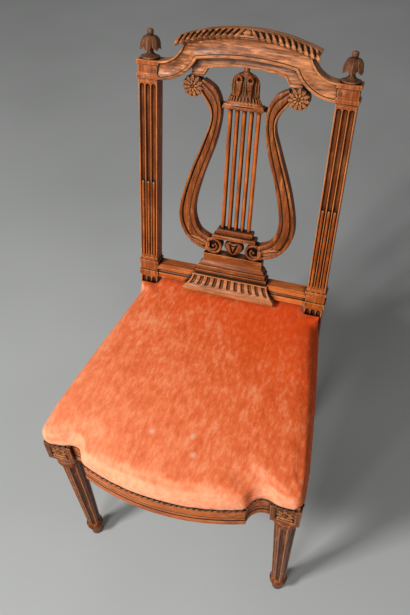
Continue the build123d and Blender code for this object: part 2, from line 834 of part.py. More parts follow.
with BuildPart() as rear_leg_left:
    mirror(rear_leg_right.part, about=Plane.YZ)

# Gadrooned cap: an arched moulding with a sloped nose that carries bars leaning to the middle
cap_turn = asin(cap_moulding_half / crest_top_radius)
cap_front = crest_front - cap_moulding_proud
cap_height = crest_top + cap_moulding_height
cap_axis = Axis(back.from_local_coords((0, crest_top_middle, 0)), back.z_dir)
nose_ring = crest_top_radius + (cap_lip + cap_moulding_height) / 2
with BuildPart() as crest_gadroon_cap:
    with BuildSketch(back_end) as cap_section:
        with BuildLine():
            Polyline(
                (cap_front, crest_top),
                (cap_front, crest_top + cap_lip),
                (cap_front + cap_nose_depth, cap_height),
                (cap_front + cap_moulding_depth, cap_height),
                (cap_front + cap_moulding_depth, crest_top),
                close=True,
            )
        make_face()
    for way in (-1, 1):
        revolve(cap_section.sketch, axis=cap_axis, revolution_arc=way * cap_turn * 180 / pi)
    for step in range(-gadroons, gadroons + 1):
        turn = cap_turn * step / (gadroons + 0.5)
        lean = radians(gadroon_slant) * max(-1, min(1, step))
        radial = across_way * sin(turn) + up_way * cos(turn)
        along = across_way * cos(turn) - up_way * sin(turn)
        climb = (radial * (cap_moulding_height - cap_lip) + depth_way * cap_nose_depth).normalized()
        inward = climb.cross(along)
        nose_depth = cap_front + cap_nose_depth / 2
        nose = cap_axis.position + radial * nose_ring + depth_way * nose_depth
        bar_way = climb * cos(lean) - along * sin(lean)
        with BuildSketch(Plane(nose + inward * gadroon_sink, x_dir=inward, z_dir=bar_way)):
            RegularPolygon(gadroon_radius, flute_flats)
        extrude(amount=gadroon_length / 2, both=True)
    with Locations(Plane(cap_axis.position, z_dir=cap_axis.direction).location):
        Cylinder(crest_top_radius, 4 * cap_moulding_depth, mode=Mode.SUBTRACT)

# Lyre yoke, a bar behind the capital that ties the two arms
with BuildPart() as lyre_yoke:
    yoke_half = capital_half + 2 * yoke_tenon
    slab(yoke_half, capital_back, capital_back + yoke_depth, capital_low, capital_low + yoke_height)

# Lyre arms: outer and inner edges as curves, a disc behind the rosette and a volute below
lyre_span = rosette_w - volute_w
arm_inner = [(rosette_x - arm_scroll_in, rosette_w + arm_scroll_rise)]
arm_inner += [(x, volute_w + share * lyre_span) for x, share in arm_inner_curve]
arm_inner += [(volute_x + arm_curl_in, volute_w + arm_curl_rise)]
arm_outer = [(volute_x + arm_curl_in, volute_w - arm_curl_rise)]
arm_outer += [(x, volute_w + share * lyre_span) for x, share in arm_outer_curve]
arm_outer += [(rosette_x - arm_scroll_in / 2, rosette_w - arm_scroll_rise / 4)]
rear_of_lyre = lyre_front + lyre_depth
with BuildPart() as lyre_arm_right:
    with BuildSketch(behind(lyre_front)):
        with BuildLine():
            Spline(*arm_inner)
            Spline(*arm_outer)
            Line(arm_inner[-1], arm_outer[0])
            Line(arm_outer[-1], arm_inner[0])
        make_face()
        with Locations((rosette_x, rosette_w)):
            Circle(rosette_radius - rosette_margin)
        with Locations((volute_x, volute_w)):
            Circle(volute_radius)
    extrude(amount=-lyre_depth)
    with BuildSketch(behind(lyre_front)):
        with Locations((volute_x, volute_w)):
            Circle(volute_radius)
    extrude(amount=volute_proud)
    with BuildSketch(behind(lyre_front - volute_proud)):
        with Locations((volute_x, volute_w)):
            RegularPolygon(volute_eye, flute_flats)
    extrude(amount=volute_eye_proud)
    add(lyre_yoke.part, mode=Mode.SUBTRACT)
    add(crest_rail.part, mode=Mode.SUBTRACT)
with BuildPart() as lyre_arm_left:
    mirror(lyre_arm_right.part, about=Plane.YZ)

# Rosettes on the arms' curled tops
with BuildPart() as rosette_right:
    with BuildSketch(behind(lyre_front)):
        with Locations((rosette_x, rosette_w)):
            RegularPolygon(rosette_petal_ring, rosette_petals)
            with PolarLocations(rosette_petal_ring, rosette_petals):
                RegularPolygon(rosette_petal_radius, rosette_petal_flats)
    extrude(amount=rosette_petal_height)
    with BuildSketch(behind(lyre_front)):
        with Locations((rosette_x, rosette_w)):
            RegularPolygon(rosette_button_radius, capital_flats)
    extrude(amount=rosette_thickness)
with BuildPart() as rosette_left:
    mirror(rosette_right.part, about=Plane.YZ)

# Plinth on the lower rail, and the fluted apron on the rail's face
plinth_tiers = (
    (plinth_foot_half, plinth_foot_front, plinth_foot_height),
    (plinth_tread_half, plinth_tread_front, plinth_tread_height),
    (plinth_neck_half, plinth_neck_front, plinth_neck_height),
)
with BuildPart() as lyre_plinth:
    tier_low = low_rail_top
    for half_width, front, height in plinth_tiers:
        slab(half_width, front, plinth_back, tier_low, tier_low + height)
        tier_low += height
    slab(plinth_half, plinth_front, plinth_back, tier_low, plinth_top - plinth_cornice_height)
    slab(
        plinth_half + plinth_cornice, plinth_front - plinth_cornice, plinth_back,
        plinth_top - plinth_cornice_height, plinth_top,
    )
apron_slope_low = apron_bottom + apron_fillet_height
apron_slope_high = low_rail_top - apron_top_fillet
with BuildPart() as lyre_apron:
    slab(apron_half, stile_front - apron_proud, stile_front, apron_bottom, apron_slope_low)
    slope(
        apron_half - apron_step, stile_front - apron_proud + apron_step,
        apron_top_half - apron_step, stile_front - apron_top_proud + apron_step,
        stile_front, apron_slope_low, apron_slope_high,
    )
    slab(apron_top_half, stile_front - apron_top_proud, stile_front, apron_slope_high, low_rail_top)
    for step in range(apron_flutes):
        share = (step + 0.5) / apron_flutes - 0.5
        foot_out = apron_proud - stile_front - apron_step
        head_out = apron_top_proud - stile_front - apron_step
        foot_w = apron_slope_low + apron_flute_radius
        foot = back.from_local_coords((share * 2 * apron_half, foot_w, foot_out))
        head = back.from_local_coords((share * 2 * apron_top_half, apron_slope_high, head_out))
        flute_plane = Plane(foot, z_dir=head - foot)
        flute(flute_plane, (head - foot).length, apron_flute_radius, apron_flute_radius)
    add(lower_back_rail.part, mode=Mode.SUBTRACT)

# Boss between the volutes: a heart with a domed face
boss_lobe = boss_half / 2
boss_edge = boss_half - 2 * boss_margin
boss_w = volute_w + boss_lobe - 2 * boss_margin
with BuildPart() as lyre_boss:
    with BuildSketch(behind(rear_of_lyre)):
        with Locations((-boss_lobe, volute_w + boss_lobe), (boss_lobe, volute_w + boss_lobe)):
            Circle(boss_lobe - boss_margin)
        with BuildLine():
            Polyline(
                (0, plinth_top), (boss_edge, boss_w), (0, volute_w + boss_lobe), (-boss_edge, boss_w),
                close=True,
            )
        make_face()
    extrude(amount=lyre_depth + volute_proud)
    for arm in (lyre_arm_left, lyre_arm_right):
        add(arm.part, mode=Mode.SUBTRACT)

# Base that the strings stand on
step_low = string_base_low + string_step_height
with BuildPart() as string_set:
    for step in range(strings):
        string_x = (step - (strings - 1) / 2) * string_pitch
        with BuildSketch(across(string_base_top - string_tenon)):
            with Locations((string_x, lyre_middle)):
                RegularPolygon(string_radius, string_flats)
        extrude(amount=capital_low - string_base_top + 2 * string_tenon)
with BuildPart() as lyre_string_base:
    slab(string_base_half, string_base_front, string_base_back, string_base_low, step_low)
    slab(
        string_base_top_half - string_neck_set, string_base_front + string_neck_set,
        string_base_back - string_neck_set, step_low, step_low + string_neck_height,
    )
    slab(
        string_base_top_half, string_base_front + string_neck_set / 2, string_base_back - string_neck_set / 2,
        step_low + string_neck_height, string_base_top,
    )
    add(string_set.part, mode=Mode.SUBTRACT)

# Capital: a bell of oval sections on a slab, with a bead under the crest
slab_top = capital_low + capital_slab_height
bell_sections = (
    (slab_top, capital_half - capital_bell_set, (capital_back - capital_front) / 2),
    (slab_top + (capital_top - slab_top) / 3, capital_waist_half, capital_waist_depth / 2),
    (capital_top - capital_brow_height, capital_crown_half, capital_crown_depth / 2),
    (capital_top, capital_bead_radius, capital_bead_radius),
)
with BuildPart() as lyre_capital:
    slab(capital_half, capital_front, capital_back, capital_low, slab_top)
    bell = []
    for height, half_width, half_depth in bell_sections:
        with BuildSketch(across(height)) as bell_section:
            turns = [2 * pi * step / capital_flats for step in range(capital_flats)]
            places = [(half_width * cos(turn), capital_middle + half_depth * sin(turn)) for turn in turns]
            Polygon(*places, align=None)
        bell.append(bell_section.sketch)
    loft(bell, ruled=True)
    with BuildSketch(across(capital_top)):
        with Locations((0, capital_middle)):
            RegularPolygon(capital_bead_radius, capital_flats)
    extrude(amount=crest_band_low - capital_top)
    add(string_set.part, mode=Mode.SUBTRACT)
    add(crest_rail.part, mode=Mode.SUBTRACT)

# Corner blocks, each fitted to the rails and the leg in its corner
corner_low = rail_bottom + corner_rise
corner_bury = side_rail_thickness / 4
front_corner = (block_outer - side_rail_thickness, rail_inner_y)
rear_corner = (side_rear_x - side_rail_thickness / 2, rear_rail_front)
side_slope = (block_outer - side_rear_x) / (leg_front_y - block_rear)
with BuildPart() as corner_block_front_right:
    with BuildSketch(Plane.XY.offset(corner_low)):
        with BuildLine():
            Polyline(
                (front_corner[0] + corner_bury, front_corner[1] - front_rail_back),
                (front_corner[0] + corner_bury, front_corner[1] + corner_leg),
                (front_corner[0] - side_rail_thickness / 2, front_corner[1] + corner_leg),
                (front_corner[0] - corner_leg, front_corner[1] + side_rail_thickness / 2),
                (front_corner[0] - corner_leg, front_corner[1] - front_rail_back),
                close=True,
            )
        make_face()
    extrude(amount=corner_height)
    add(front_leg_right.part, mode=Mode.SUBTRACT)
    add(side_seat_rail_right.part, mode=Mode.SUBTRACT)
    add(front_seat_rail.part, mode=Mode.SUBTRACT)
with BuildPart() as corner_block_rear_right:
    with BuildSketch(Plane.XY.offset(corner_low)):
        with BuildLine():
            Polyline(
                (rear_corner[0] + corner_bury, rear_corner[1]),
                (rear_corner[0] + corner_bury, rear_corner[1] - corner_leg),
                (rear_corner[0] - side_rail_thickness / 2, rear_corner[1] - corner_leg),
                (rear_corner[0] - corner_leg, rear_corner[1] - side_rail_thickness / 2),
                (rear_corner[0] - corner_leg, rear_corner[1]),
                close=True,
            )
        make_face()
    extrude(amount=corner_height)
    add(rear_leg_right.part, mode=Mode.SUBTRACT)
    add(side_seat_rail_right.part, mode=Mode.SUBTRACT)
    add(rear_seat_rail.part, mode=Mode.SUBTRACT)
with BuildPart() as corner_block_front_left:
    mirror(corner_block_front_right.part, about=Plane.YZ)
with BuildPart() as corner_block_rear_left:
    mirror(corner_block_rear_right.part, about=Plane.YZ)

# Webbing in two directions, hessian, pad and velvet
web_first = block_rear + web_gap
with BuildPart() as seat_webbing_lengthwise:
    with BuildSketch(Plane.XY.offset(rail_top)):
        with GridLocations(web_width + web_gap, 1, web_lengthwise, 1):
            with Locations((0, (rail_inner_y + seat_back_y) / 2 - front_rail_hollow / 2)):
                Rectangle(web_width, seat_back_y - rail_inner_y)
    extrude(amount=web_thickness)
with BuildPart() as seat_webbing_crosswise:
    for step in range(web_crosswise):
        web_y = web_first + web_width / 2 + step * (web_width + web_gap)
        web_half = block_outer - hessian_inset - side_slope * (web_y + web_width / 2 - block_rear)
        with BuildSketch(Plane.XY.offset(rail_top + web_thickness)):
            with Locations((0, web_y)):
                Rectangle(2 * web_half, web_width)
        extrude(amount=web_thickness)
with BuildPart() as seat_hessian:
    with BuildSketch(Plane.XY.offset(pad_floor - hessian_thickness)):
        with BuildLine():
            seat_line(0, hessian_inset)
        make_face()
    extrude(amount=hessian_thickness)
    clear_stiles()
with BuildPart() as seat_pad:
    seat_form(cover_thickness)
    split(bisect_by=Plane.XY.offset(pad_floor), keep=Keep.TOP)
    clear_stiles()
with BuildPart() as seat_cover:
    seat_form(0)
    with BuildSketch(Plane.XY.offset(cover_edge)):
        with BuildLine():
            seat_line(0, cover_thickness)
        make_face()
    extrude(amount=pad_floor - cover_edge, mode=Mode.SUBTRACT)
    clear_stiles()
    add(seat_pad.part, mode=Mode.SUBTRACT)

pieces = {
    "rear_leg_left": rear_leg_left,
    "rear_leg_right": rear_leg_right,
    "finial_left": finial_left,
    "finial_right": finial_right,
    "crest_rail": crest_rail,
    "crest_gadroon_cap": crest_gadroon_cap,
    "lower_back_rail": lower_back_rail,
    "lyre_arm_left": lyre_arm_left,
    "lyre_arm_right": lyre_arm_right,
    "rosette_left": rosette_left,
    "rosette_right": rosette_right,
    "lyre_capital": lyre_capital,
    "lyre_yoke": lyre_yoke,
    "lyre_string_base": lyre_string_base,
    "lyre_boss": lyre_boss,
    "lyre_plinth": lyre_plinth,
    "lyre_apron": lyre_apron,
    "front_leg_left": front_leg_left,
    "front_leg_right": front_leg_right,
    "front_seat_rail": front_seat_rail,
    "side_seat_rail_left": side_seat_rail_left,
    "side_seat_rail_right": side_seat_rail_right,
    "rear_seat_rail": rear_seat_rail,
    "corner_block_front_left": corner_block_front_left,
    "corner_block_front_right": corner_block_front_right,
    "corner_block_rear_left": corner_block_rear_left,
    "corner_block_rear_right": corner_block_rear_right,
    "seat_webbing_lengthwise": seat_webbing_lengthwise,
    "seat_webbing_crosswise": seat_webbing_crosswise,
    "seat_hessian": seat_hessian,
    "seat_pad": seat_pad,
    "seat_cover": seat_cover,
    "joint_pegs": joint_pegs,
}
for name, builder in pieces.items():
    keep(builder, name)

# Strings, one rod each
for step in range(strings):
    string_x = (step - (strings - 1) / 2) * string_pitch
    with BuildPart() as lyre_string:
        with BuildSketch(across(string_base_top - string_tenon)):
            with Locations((string_x, lyre_middle)):
                RegularPolygon(string_radius, string_flats)
        extrude(amount=capital_low - string_base_top + 2 * string_tenon)
    keep(lyre_string, f"lyre_string_{step + 1}")
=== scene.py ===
"""Dresses the lyre-back side chair: carved and waxed wood, a nailed velvet seat and its webbing."""
import logging
import math
from contextlib import contextmanager
from dataclasses import dataclass
from enum import Enum
from functools import partial
from typing import Callable, Iterator, Sequence

import bpy
from mathutils import Matrix, Vector


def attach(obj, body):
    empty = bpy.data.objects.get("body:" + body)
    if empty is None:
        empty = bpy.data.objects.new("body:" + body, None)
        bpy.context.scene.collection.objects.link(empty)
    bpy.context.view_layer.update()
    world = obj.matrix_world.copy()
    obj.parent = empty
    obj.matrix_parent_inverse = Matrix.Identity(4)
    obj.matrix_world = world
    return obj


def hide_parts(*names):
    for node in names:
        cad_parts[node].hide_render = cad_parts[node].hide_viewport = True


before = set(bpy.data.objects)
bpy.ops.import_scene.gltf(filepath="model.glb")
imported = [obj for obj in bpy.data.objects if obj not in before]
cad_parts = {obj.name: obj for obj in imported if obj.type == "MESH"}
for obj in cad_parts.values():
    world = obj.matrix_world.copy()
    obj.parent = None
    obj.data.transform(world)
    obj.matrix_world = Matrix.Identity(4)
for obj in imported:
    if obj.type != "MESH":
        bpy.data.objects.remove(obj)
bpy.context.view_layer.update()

MM = 0.001
BODY = "root"
WOOD = "carved_wood"
CRISP = 25.0
PHOTO_SIZE = (410, 615)
RAKE = math.radians(14.25)
FACING = Matrix.Rotation(math.pi / 2, 4, "X")
BACK_FOOT_Y = 18.1
log = logging.getLogger("chair")

Colour = tuple[float, float, float]
Place = tuple[float, float]
Point = tuple[float, float, float]
Level = tuple[float, float, float, float]
Piece = bpy.types.Object
Finish = bpy.types.Material
Socket = bpy.types.NodeSocket


class Side(Enum):
    """The two sides of the chair, as seen from the front."""

    LEFT = -1
    RIGHT = 1

    @property
    def word(self) -> str:
        """The side's name as the CAD nodes spell it."""
        return self.name.lower()


class Grain(Enum):
    """The way the wood's grain runs, as the stretch of its pattern along X, Y and Z."""

    UPRIGHT = (1.0, 1.0, 0.05)
    RAKED = (1.0, 1.0, 0.051)
    ACROSS = (0.05, 1.0, 1.0)
    DEEP = (1.0, 0.05, 1.0)

    @property
    def lean(self) -> float:
        """How far the grain leans back, about X."""
        return RAKE if self is Grain.RAKED else 0.0


class Weave(Enum):
    """Kinds of plain cloth under the seat, as threads per metre."""

    WEBBING = 420.0
    HESSIAN = 900.0


class Web(Enum):
    """The ways that the webbing runs, as the CAD nodes spell them."""

    LENGTHWISE = "lengthwise"
    CROSSWISE = "crosswise"


# Moves on the modelling bench


def activate(piece: Piece) -> None:
    """Leaves one piece selected and active, in object mode.

    Args:
        piece: The piece to work on next.
    """
    if bpy.context.mode != "OBJECT":
        bpy.ops.object.mode_set(mode="OBJECT")
    bpy.ops.object.select_all(action="DESELECT")
    piece.select_set(True)
    bpy.context.view_layer.objects.active = piece


@contextmanager
def editing(piece: Piece, everything: bool = True) -> Iterator[None]:
    """Opens a piece in edit mode and closes it again.

    Args:
        piece: The piece to edit.
        everything: Whether all of it starts selected.
    """
    activate(piece)
    bpy.ops.object.mode_set(mode="EDIT")
    if everything:
        bpy.ops.mesh.select_all(action="SELECT")
    yield
    bpy.ops.object.mode_set(mode="OBJECT")


def pick_faces(piece: Piece, test: Callable[[bpy.types.MeshPolygon], bool]) -> None:
    """Selects the faces of a piece that pass a test, and nothing else.

    Args:
        piece: The piece, in object mode.
        test: Says whether a face is wanted.
    """
    with editing(piece, everything=False):
        bpy.ops.mesh.select_mode(type="FACE")
        bpy.ops.mesh.select_all(action="DESELECT")
    for face in piece.data.polygons:
        face.select = test(face)


def settle(piece: Piece) -> None:
    """Puts a piece's place, turn and scale into its mesh."""
    activate(piece)
    bpy.ops.object.transform_apply(location=True, rotation=True, scale=True)


def tidy(piece: Piece, gap: float = 0.02) -> None:
    """Merges doubled points and turns every face outwards.

    Args:
        piece: The piece to clean.
        gap: Points nearer than this, in millimetres, become one.
    """
    with editing(piece):
        bpy.ops.mesh.remove_doubles(threshold=gap * MM)
        bpy.ops.mesh.normals_make_consistent(inside=False)


def modify(piece: Piece, kind: str, **settings: object) -> None:
    """Adds a modifier, sets it and applies it.

    Args:
        piece: The piece to change.
        kind: Blender's name of the modifier.
        settings: Values for the modifier's own fields.
    """
    activate(piece)
    modifier = piece.modifiers.new(kind.title(), kind)
    for key, value in settings.items():
        setattr(modifier, key, value)
    bpy.ops.object.modifier_apply(modifier=modifier.name)


def ease_edges(piece: Piece, width: float, angle: float) -> None:
    """Bevels a piece's edges.

    Args:
        piece: The piece to change.
        width: Width of the bevel, in millimetres.
        angle: Edges sharper than this are bevelled, in degrees.
    """
    limit = math.radians(angle)
    modify(piece, "BEVEL", width=width * MM, segments=2, limit_method="ANGLE", angle_limit=limit)


def copy_of(piece: Piece, name: str) -> Piece:
    """A copy of a piece with its own mesh.

    Args:
        piece: The piece to copy.
        name: The copy's name.

    Returns:
        The copy.
    """
    activate(piece)
    bpy.ops.object.duplicate(linked=False)
    twin = bpy.context.object
    twin.name = name
    return twin


def discard(*pieces: Piece) -> None:
    """Deletes pieces that were only patterns for copies."""
    for piece in pieces:
        activate(piece)
        bpy.ops.object.delete()


def ring_of(
    piece: Piece, count: int, axis: str, start: float = 0.0, place: Matrix | None = None
) -> list[Piece]:
    """Copies of a piece, turned about an axis at even steps, that take the piece's own place.

    Args:
        piece: The pattern, which is deleted.
        count: How many copies there are.
        axis: The axis through the ring's middle.
        start: Turn of the first copy.
        place: Where the ring's middle goes, or nothing for the origin.

    Returns:
        The copies.
    """
    middle = Matrix() if place is None else place
    copies = []
    for step in range(count):
        turn = Matrix.Rotation(2 * math.pi * step / count + start, 4, axis)
        copies.append(put(copy_of(piece, f"{piece.name}_{step}"), middle @ turn))
    discard(piece)
    return copies


def mirrored(piece: Piece, name: str) -> Piece:
    """The same piece for the chair's other side.

    Args:
        piece: The piece for one side.
        name: The new piece's name.

    Returns:
        The piece for the other side.
    """
    twin = copy_of(piece, name)
    twin.scale.x = -1
    settle(twin)
    with editing(twin):
        bpy.ops.mesh.normals_make_consistent(inside=False)
    return twin


def joined(pieces: Sequence[Piece], name: str) -> Piece:
    """Joins pieces into the first of them.

    Args:
        pieces: The pieces, with their places in their meshes.
        name: The joined piece's name.

    Returns:
        The joined piece.
    """
    activate(pieces[0])
    for piece in pieces[1:]:
        piece.select_set(True)
    if len(pieces) > 1:
        bpy.ops.object.join()
    whole = bpy.context.object
    whole.name = name
    return whole


def raked(piece: Piece) -> Piece:
    """Leans a piece, modelled upright with its height along Z, onto the chair's raked back.

    Args:
        piece: The upright piece.

    Returns:
        The same piece, leaning.
    """
    piece.rotation_euler = (-RAKE, 0.0, 0.0)
    piece.location = (0.0, BACK_FOOT_Y * MM, 0.0)
    settle(piece)
    return piece


def put(piece: Piece, matrix: Matrix) -> Piece:
    """Moves a piece by a matrix and keeps the move in its mesh.

    Args:
        piece: The piece to move.
        matrix: The move.

    Returns:
        The same piece.
    """
    piece.matrix_world = matrix @ piece.matrix_world
    settle(piece)
    return piece


def pull(x: float, y: float, z: float) -> None:
    """Extrudes what is selected by a move in millimetres."""
    bpy.ops.mesh.extrude_region_move(TRANSFORM_OT_translate={"value": (x * MM, y * MM, z * MM)})


def at_mm(x: float, y: float, z: float) -> Matrix:
    """A move to a place given in millimetres."""
    return Matrix.Translation((x * MM, y * MM, z * MM))


def smooth_line(points: Sequence[Place], per_span: int) -> list[Place]:
    """A smooth line through points, with the same number of steps in every span.

    Args:
        points: The points that the line passes.
        per_span: Steps between neighbouring points.

    Returns:
        The places along the line, both ends among them.
    """
    ends = [points[0], *points, points[-1]]
    line: list[Place] = []
    for i in range(1, len(ends) - 2):
        a, b, c, d = (Vector(p) for p in ends[i - 1 : i + 3])
        for step in range(per_span):
            t = step / per_span
            spot = b * 2 + (c - a) * t + (a * 2 - b * 5 + c * 4 - d) * t**2 + (b * 3 - a - c * 3 + d) * t**3
            line.append(tuple(spot / 2))
    return [*line, tuple(points[-1])]


def round_line(middle: Place, radius: float, first: float, last: float, steps: int) -> list[Place]:
    """Places along an arc, both ends among them.

    Args:
        middle: The arc's middle.
        radius: Its radius.
        first: Angle of its start.
        last: Angle of its end.
        steps: How many steps it has.

    Returns:
        The places.
    """
    turns = [first + (last - first) * i / steps for i in range(steps + 1)]
    return [(middle[0] + radius * math.cos(t), middle[1] + radius * math.sin(t)) for t in turns]


def both_sides(line: Sequence[Place]) -> list[Place]:
    """A line from the chair's right side to its middle, led by its mirror image."""
    return [(-x, height) for x, height in line] + list(reversed(line[:-1]))


def turned(name: str, rings: Sequence[Place], segments: int, oval: float = 1.0) -> Piece:
    """A turned form about Z: a disc extruded ring by ring.

    Args:
        name: The piece's name.
        rings: Height and radius of each ring, in millimetres.
        segments: Sides of each ring.
        oval: Depth of the form as a share of its width.

    Returns:
        The closed piece.
    """
    low, radius = rings[0]
    foot = (0, 0, low * MM)
    bpy.ops.mesh.primitive_circle_add(vertices=segments, radius=radius * MM, fill_type="NGON", location=foot)
    piece = bpy.context.object
    piece.name = name
    with editing(piece):
        bpy.ops.mesh.select_mode(type="FACE")
        for height, wide in rings[1:]:
            pull(0, 0, height - low)
            share = wide / radius
            middle = (0, 0, height * MM)
            bpy.ops.transform.resize(value=(share, share, 1), center_override=middle)
            low, radius = height, wide
    piece.scale.y = oval
    settle(piece)
    tidy(piece)
    return piece


def outlined(name: str, points: Sequence[Point], fill: str = "NGON") -> Piece:
    """A ring of points laid along an outline.

    Args:
        name: The piece's name.
        points: The outline, in millimetres.
        fill: Blender's name of the way the ring is filled.

    Returns:
        The ring.
    """
    bpy.ops.mesh.primitive_circle_add(vertices=len(points), radius=1, fill_type=fill)
    piece = bpy.context.object
    piece.name = name
    for point, place in zip(piece.data.vertices, points):
        point.co = Vector(place) * MM
    return piece


def shaped_grid(name: str, columns: int, rows: int, shape: Callable[[int, int], Point]) -> Piece:
    """A grid with each point moved to its place.

    Args:
        name: The piece's name.
        columns: Steps across the grid.
        rows: Steps up the grid.
        shape: Place, in millimetres, of the point in a column and a row.

    Returns:
        The open grid.
    """
    bpy.ops.mesh.primitive_grid_add(x_subdivisions=columns, y_subdivisions=rows, size=1)
    piece = bpy.context.object
    piece.name = name
    for index, point in enumerate(piece.data.vertices):
        row, column = divmod(index, columns + 1)
        point.co = Vector(shape(column, row)) * MM
    return piece


def relief(name: str, columns: int, rows: int, shape: Callable[[int, int], Point], rear: float) -> Piece:
    """A carved face with a flat back: a grid that is shaped, then extruded back.

    Args:
        name: The piece's name.
        columns: Steps across the grid.
        rows: Steps up the grid.
        shape: Place across, depth and height of the grid's point in a column and a row.
        rear: Depth of the flat back.

    Returns:
        The closed piece, upright.
    """
    piece = shaped_grid(name, columns, rows, shape)
    with editing(piece):
        bpy.ops.mesh.select_mode(type="FACE")
        pull(0, rear, 0)
    for point in piece.data.vertices:
        if point.select:
            point.co.y = rear * MM
    tidy(piece)
    return piece


def moulded_bar(
    name: str,
    near: Sequence[Place],
    far: Sequence[Place],
    profile: Sequence[Place],
    front: float,
    rear: float,
) -> Piece:
    """A bar between two edge lines with a moulded face.

    Args:
        name: The piece's name.
        near: One edge, as places across and up.
        far: The other edge, with as many places.
        profile: Share of the way across, and how far the face stands out there.
        front: Depth of the face's ground.
        rear: Depth of the flat back.

    Returns:
        The closed piece, upright.
    """

    def shape(column: int, row: int) -> Point:
        """Where a point of the moulded face lies.

        Args:
            column: Its column in the grid.
            row: Its row in the grid.

        Returns:
            The place, in millimetres.
        """
        share, rise = profile[column]
        spot = Vector(near[row]).lerp(Vector(far[row]), share)
        return spot.x, front - rise, spot.y

    return relief(name, len(profile) - 1, len(near) - 1, shape, rear)


def stack(name: str, levels: Sequence[Level], ease: float = 0.5) -> Piece:
    """A block of moulded members: a plate extruded upwards level by level, with its edges eased.

    Args:
        name: The piece's name.
        levels: Height, half width, front and rear depth of each level.
        ease: Width of the bevel along its edges.

    Returns:
        The closed piece, upright.
    """
    bpy.ops.mesh.primitive_plane_add(size=2)
    piece = bpy.context.object
    piece.name = name
    middle = 0.0
    for step, (height, half, front, rear) in enumerate(levels):
        with editing(piece, everything=step == 0):
            bpy.ops.mesh.select_mode(type="FACE")
            if step:
                pull(0, 0, 0.5)
        for point in piece.data.vertices:
            if point.select:
                deep = rear if point.co.y > middle else front
                point.co = Vector((math.copysign(half, point.co.x), deep, height)) * MM
        middle = (front + rear) / 2 * MM
    tidy(piece)
    ease_edges(piece, ease, 40)
    return piece


def carved_leaf(
    name: str, length: float, width: float, arch: float, curl: float, ribs: int, thickness: float
) -> Piece:
    """A carved leaf: a grid with a lobed outline, a rib down its middle, an arched length and a curled tip.

    Args:
        name: The piece's name.
        length: From its foot to its tip, along Z.
        width: Across its widest place, along X.
        arch: How far its middle stands forward, towards -Y.
        curl: How far its tip turns forward.
        ribs: Lobes on each edge.
        thickness: Of the finished leaf.

    Returns:
        The closed leaf, standing on its foot at the origin.
    """
    columns, rows = 8, 6 * ribs

    def shape(column: int, row: int) -> Point:
        """Where a point of the leaf lies.

        Args:
            column: Its column in the grid.
            row: Its row in the grid.

        Returns:
            The place, in millimetres.
        """
        along, aside = row / rows, 2 * column / columns - 1
        lobe = 1 - 0.16 * abs(math.sin(math.pi * ribs * along)) ** 0.5
        outline = max(0.12, math.sin(math.pi * min(0.96, 0.18 + 0.8 * along)) ** 0.6)
        crown = arch * math.sin(math.pi * along) * (1 - 0.45 * aside**2)
        groove = 0.12 * width * (math.cos(3 * math.pi * aside) - 1) / 2
        tip = curl * max(0.0, along - 0.7) ** 2 / 0.09
        return aside * width / 2 * outline * lobe, -(crown + groove + tip), along * length

    piece = shaped_grid(name, columns, rows, shape)
    modify(piece, "SOLIDIFY", thickness=thickness * MM, offset=-1.0)
    tidy(piece)
    return piece


def bead(name: str, size: Point, segments: int = 12) -> Piece:
    """A carved bead: a ball drawn to an oval with a flattened back.

    Args:
        name: The piece's name.
        size: Half sizes along X, Y and Z, in millimetres.
        segments: Sides around.

    Returns:
        The bead at the origin, facing -Y.
    """
    bpy.ops.mesh.primitive_uv_sphere_add(segments=segments, ring_count=segments // 2 + 2, radius=1)
    piece = bpy.context.object
    piece.name = name
    piece.scale = tuple(s * MM for s in size)
    settle(piece)
    for point in piece.data.vertices:
        point.co.y = min(point.co.y, 0.4 * size[1] * MM)
    return piece


# Finishes


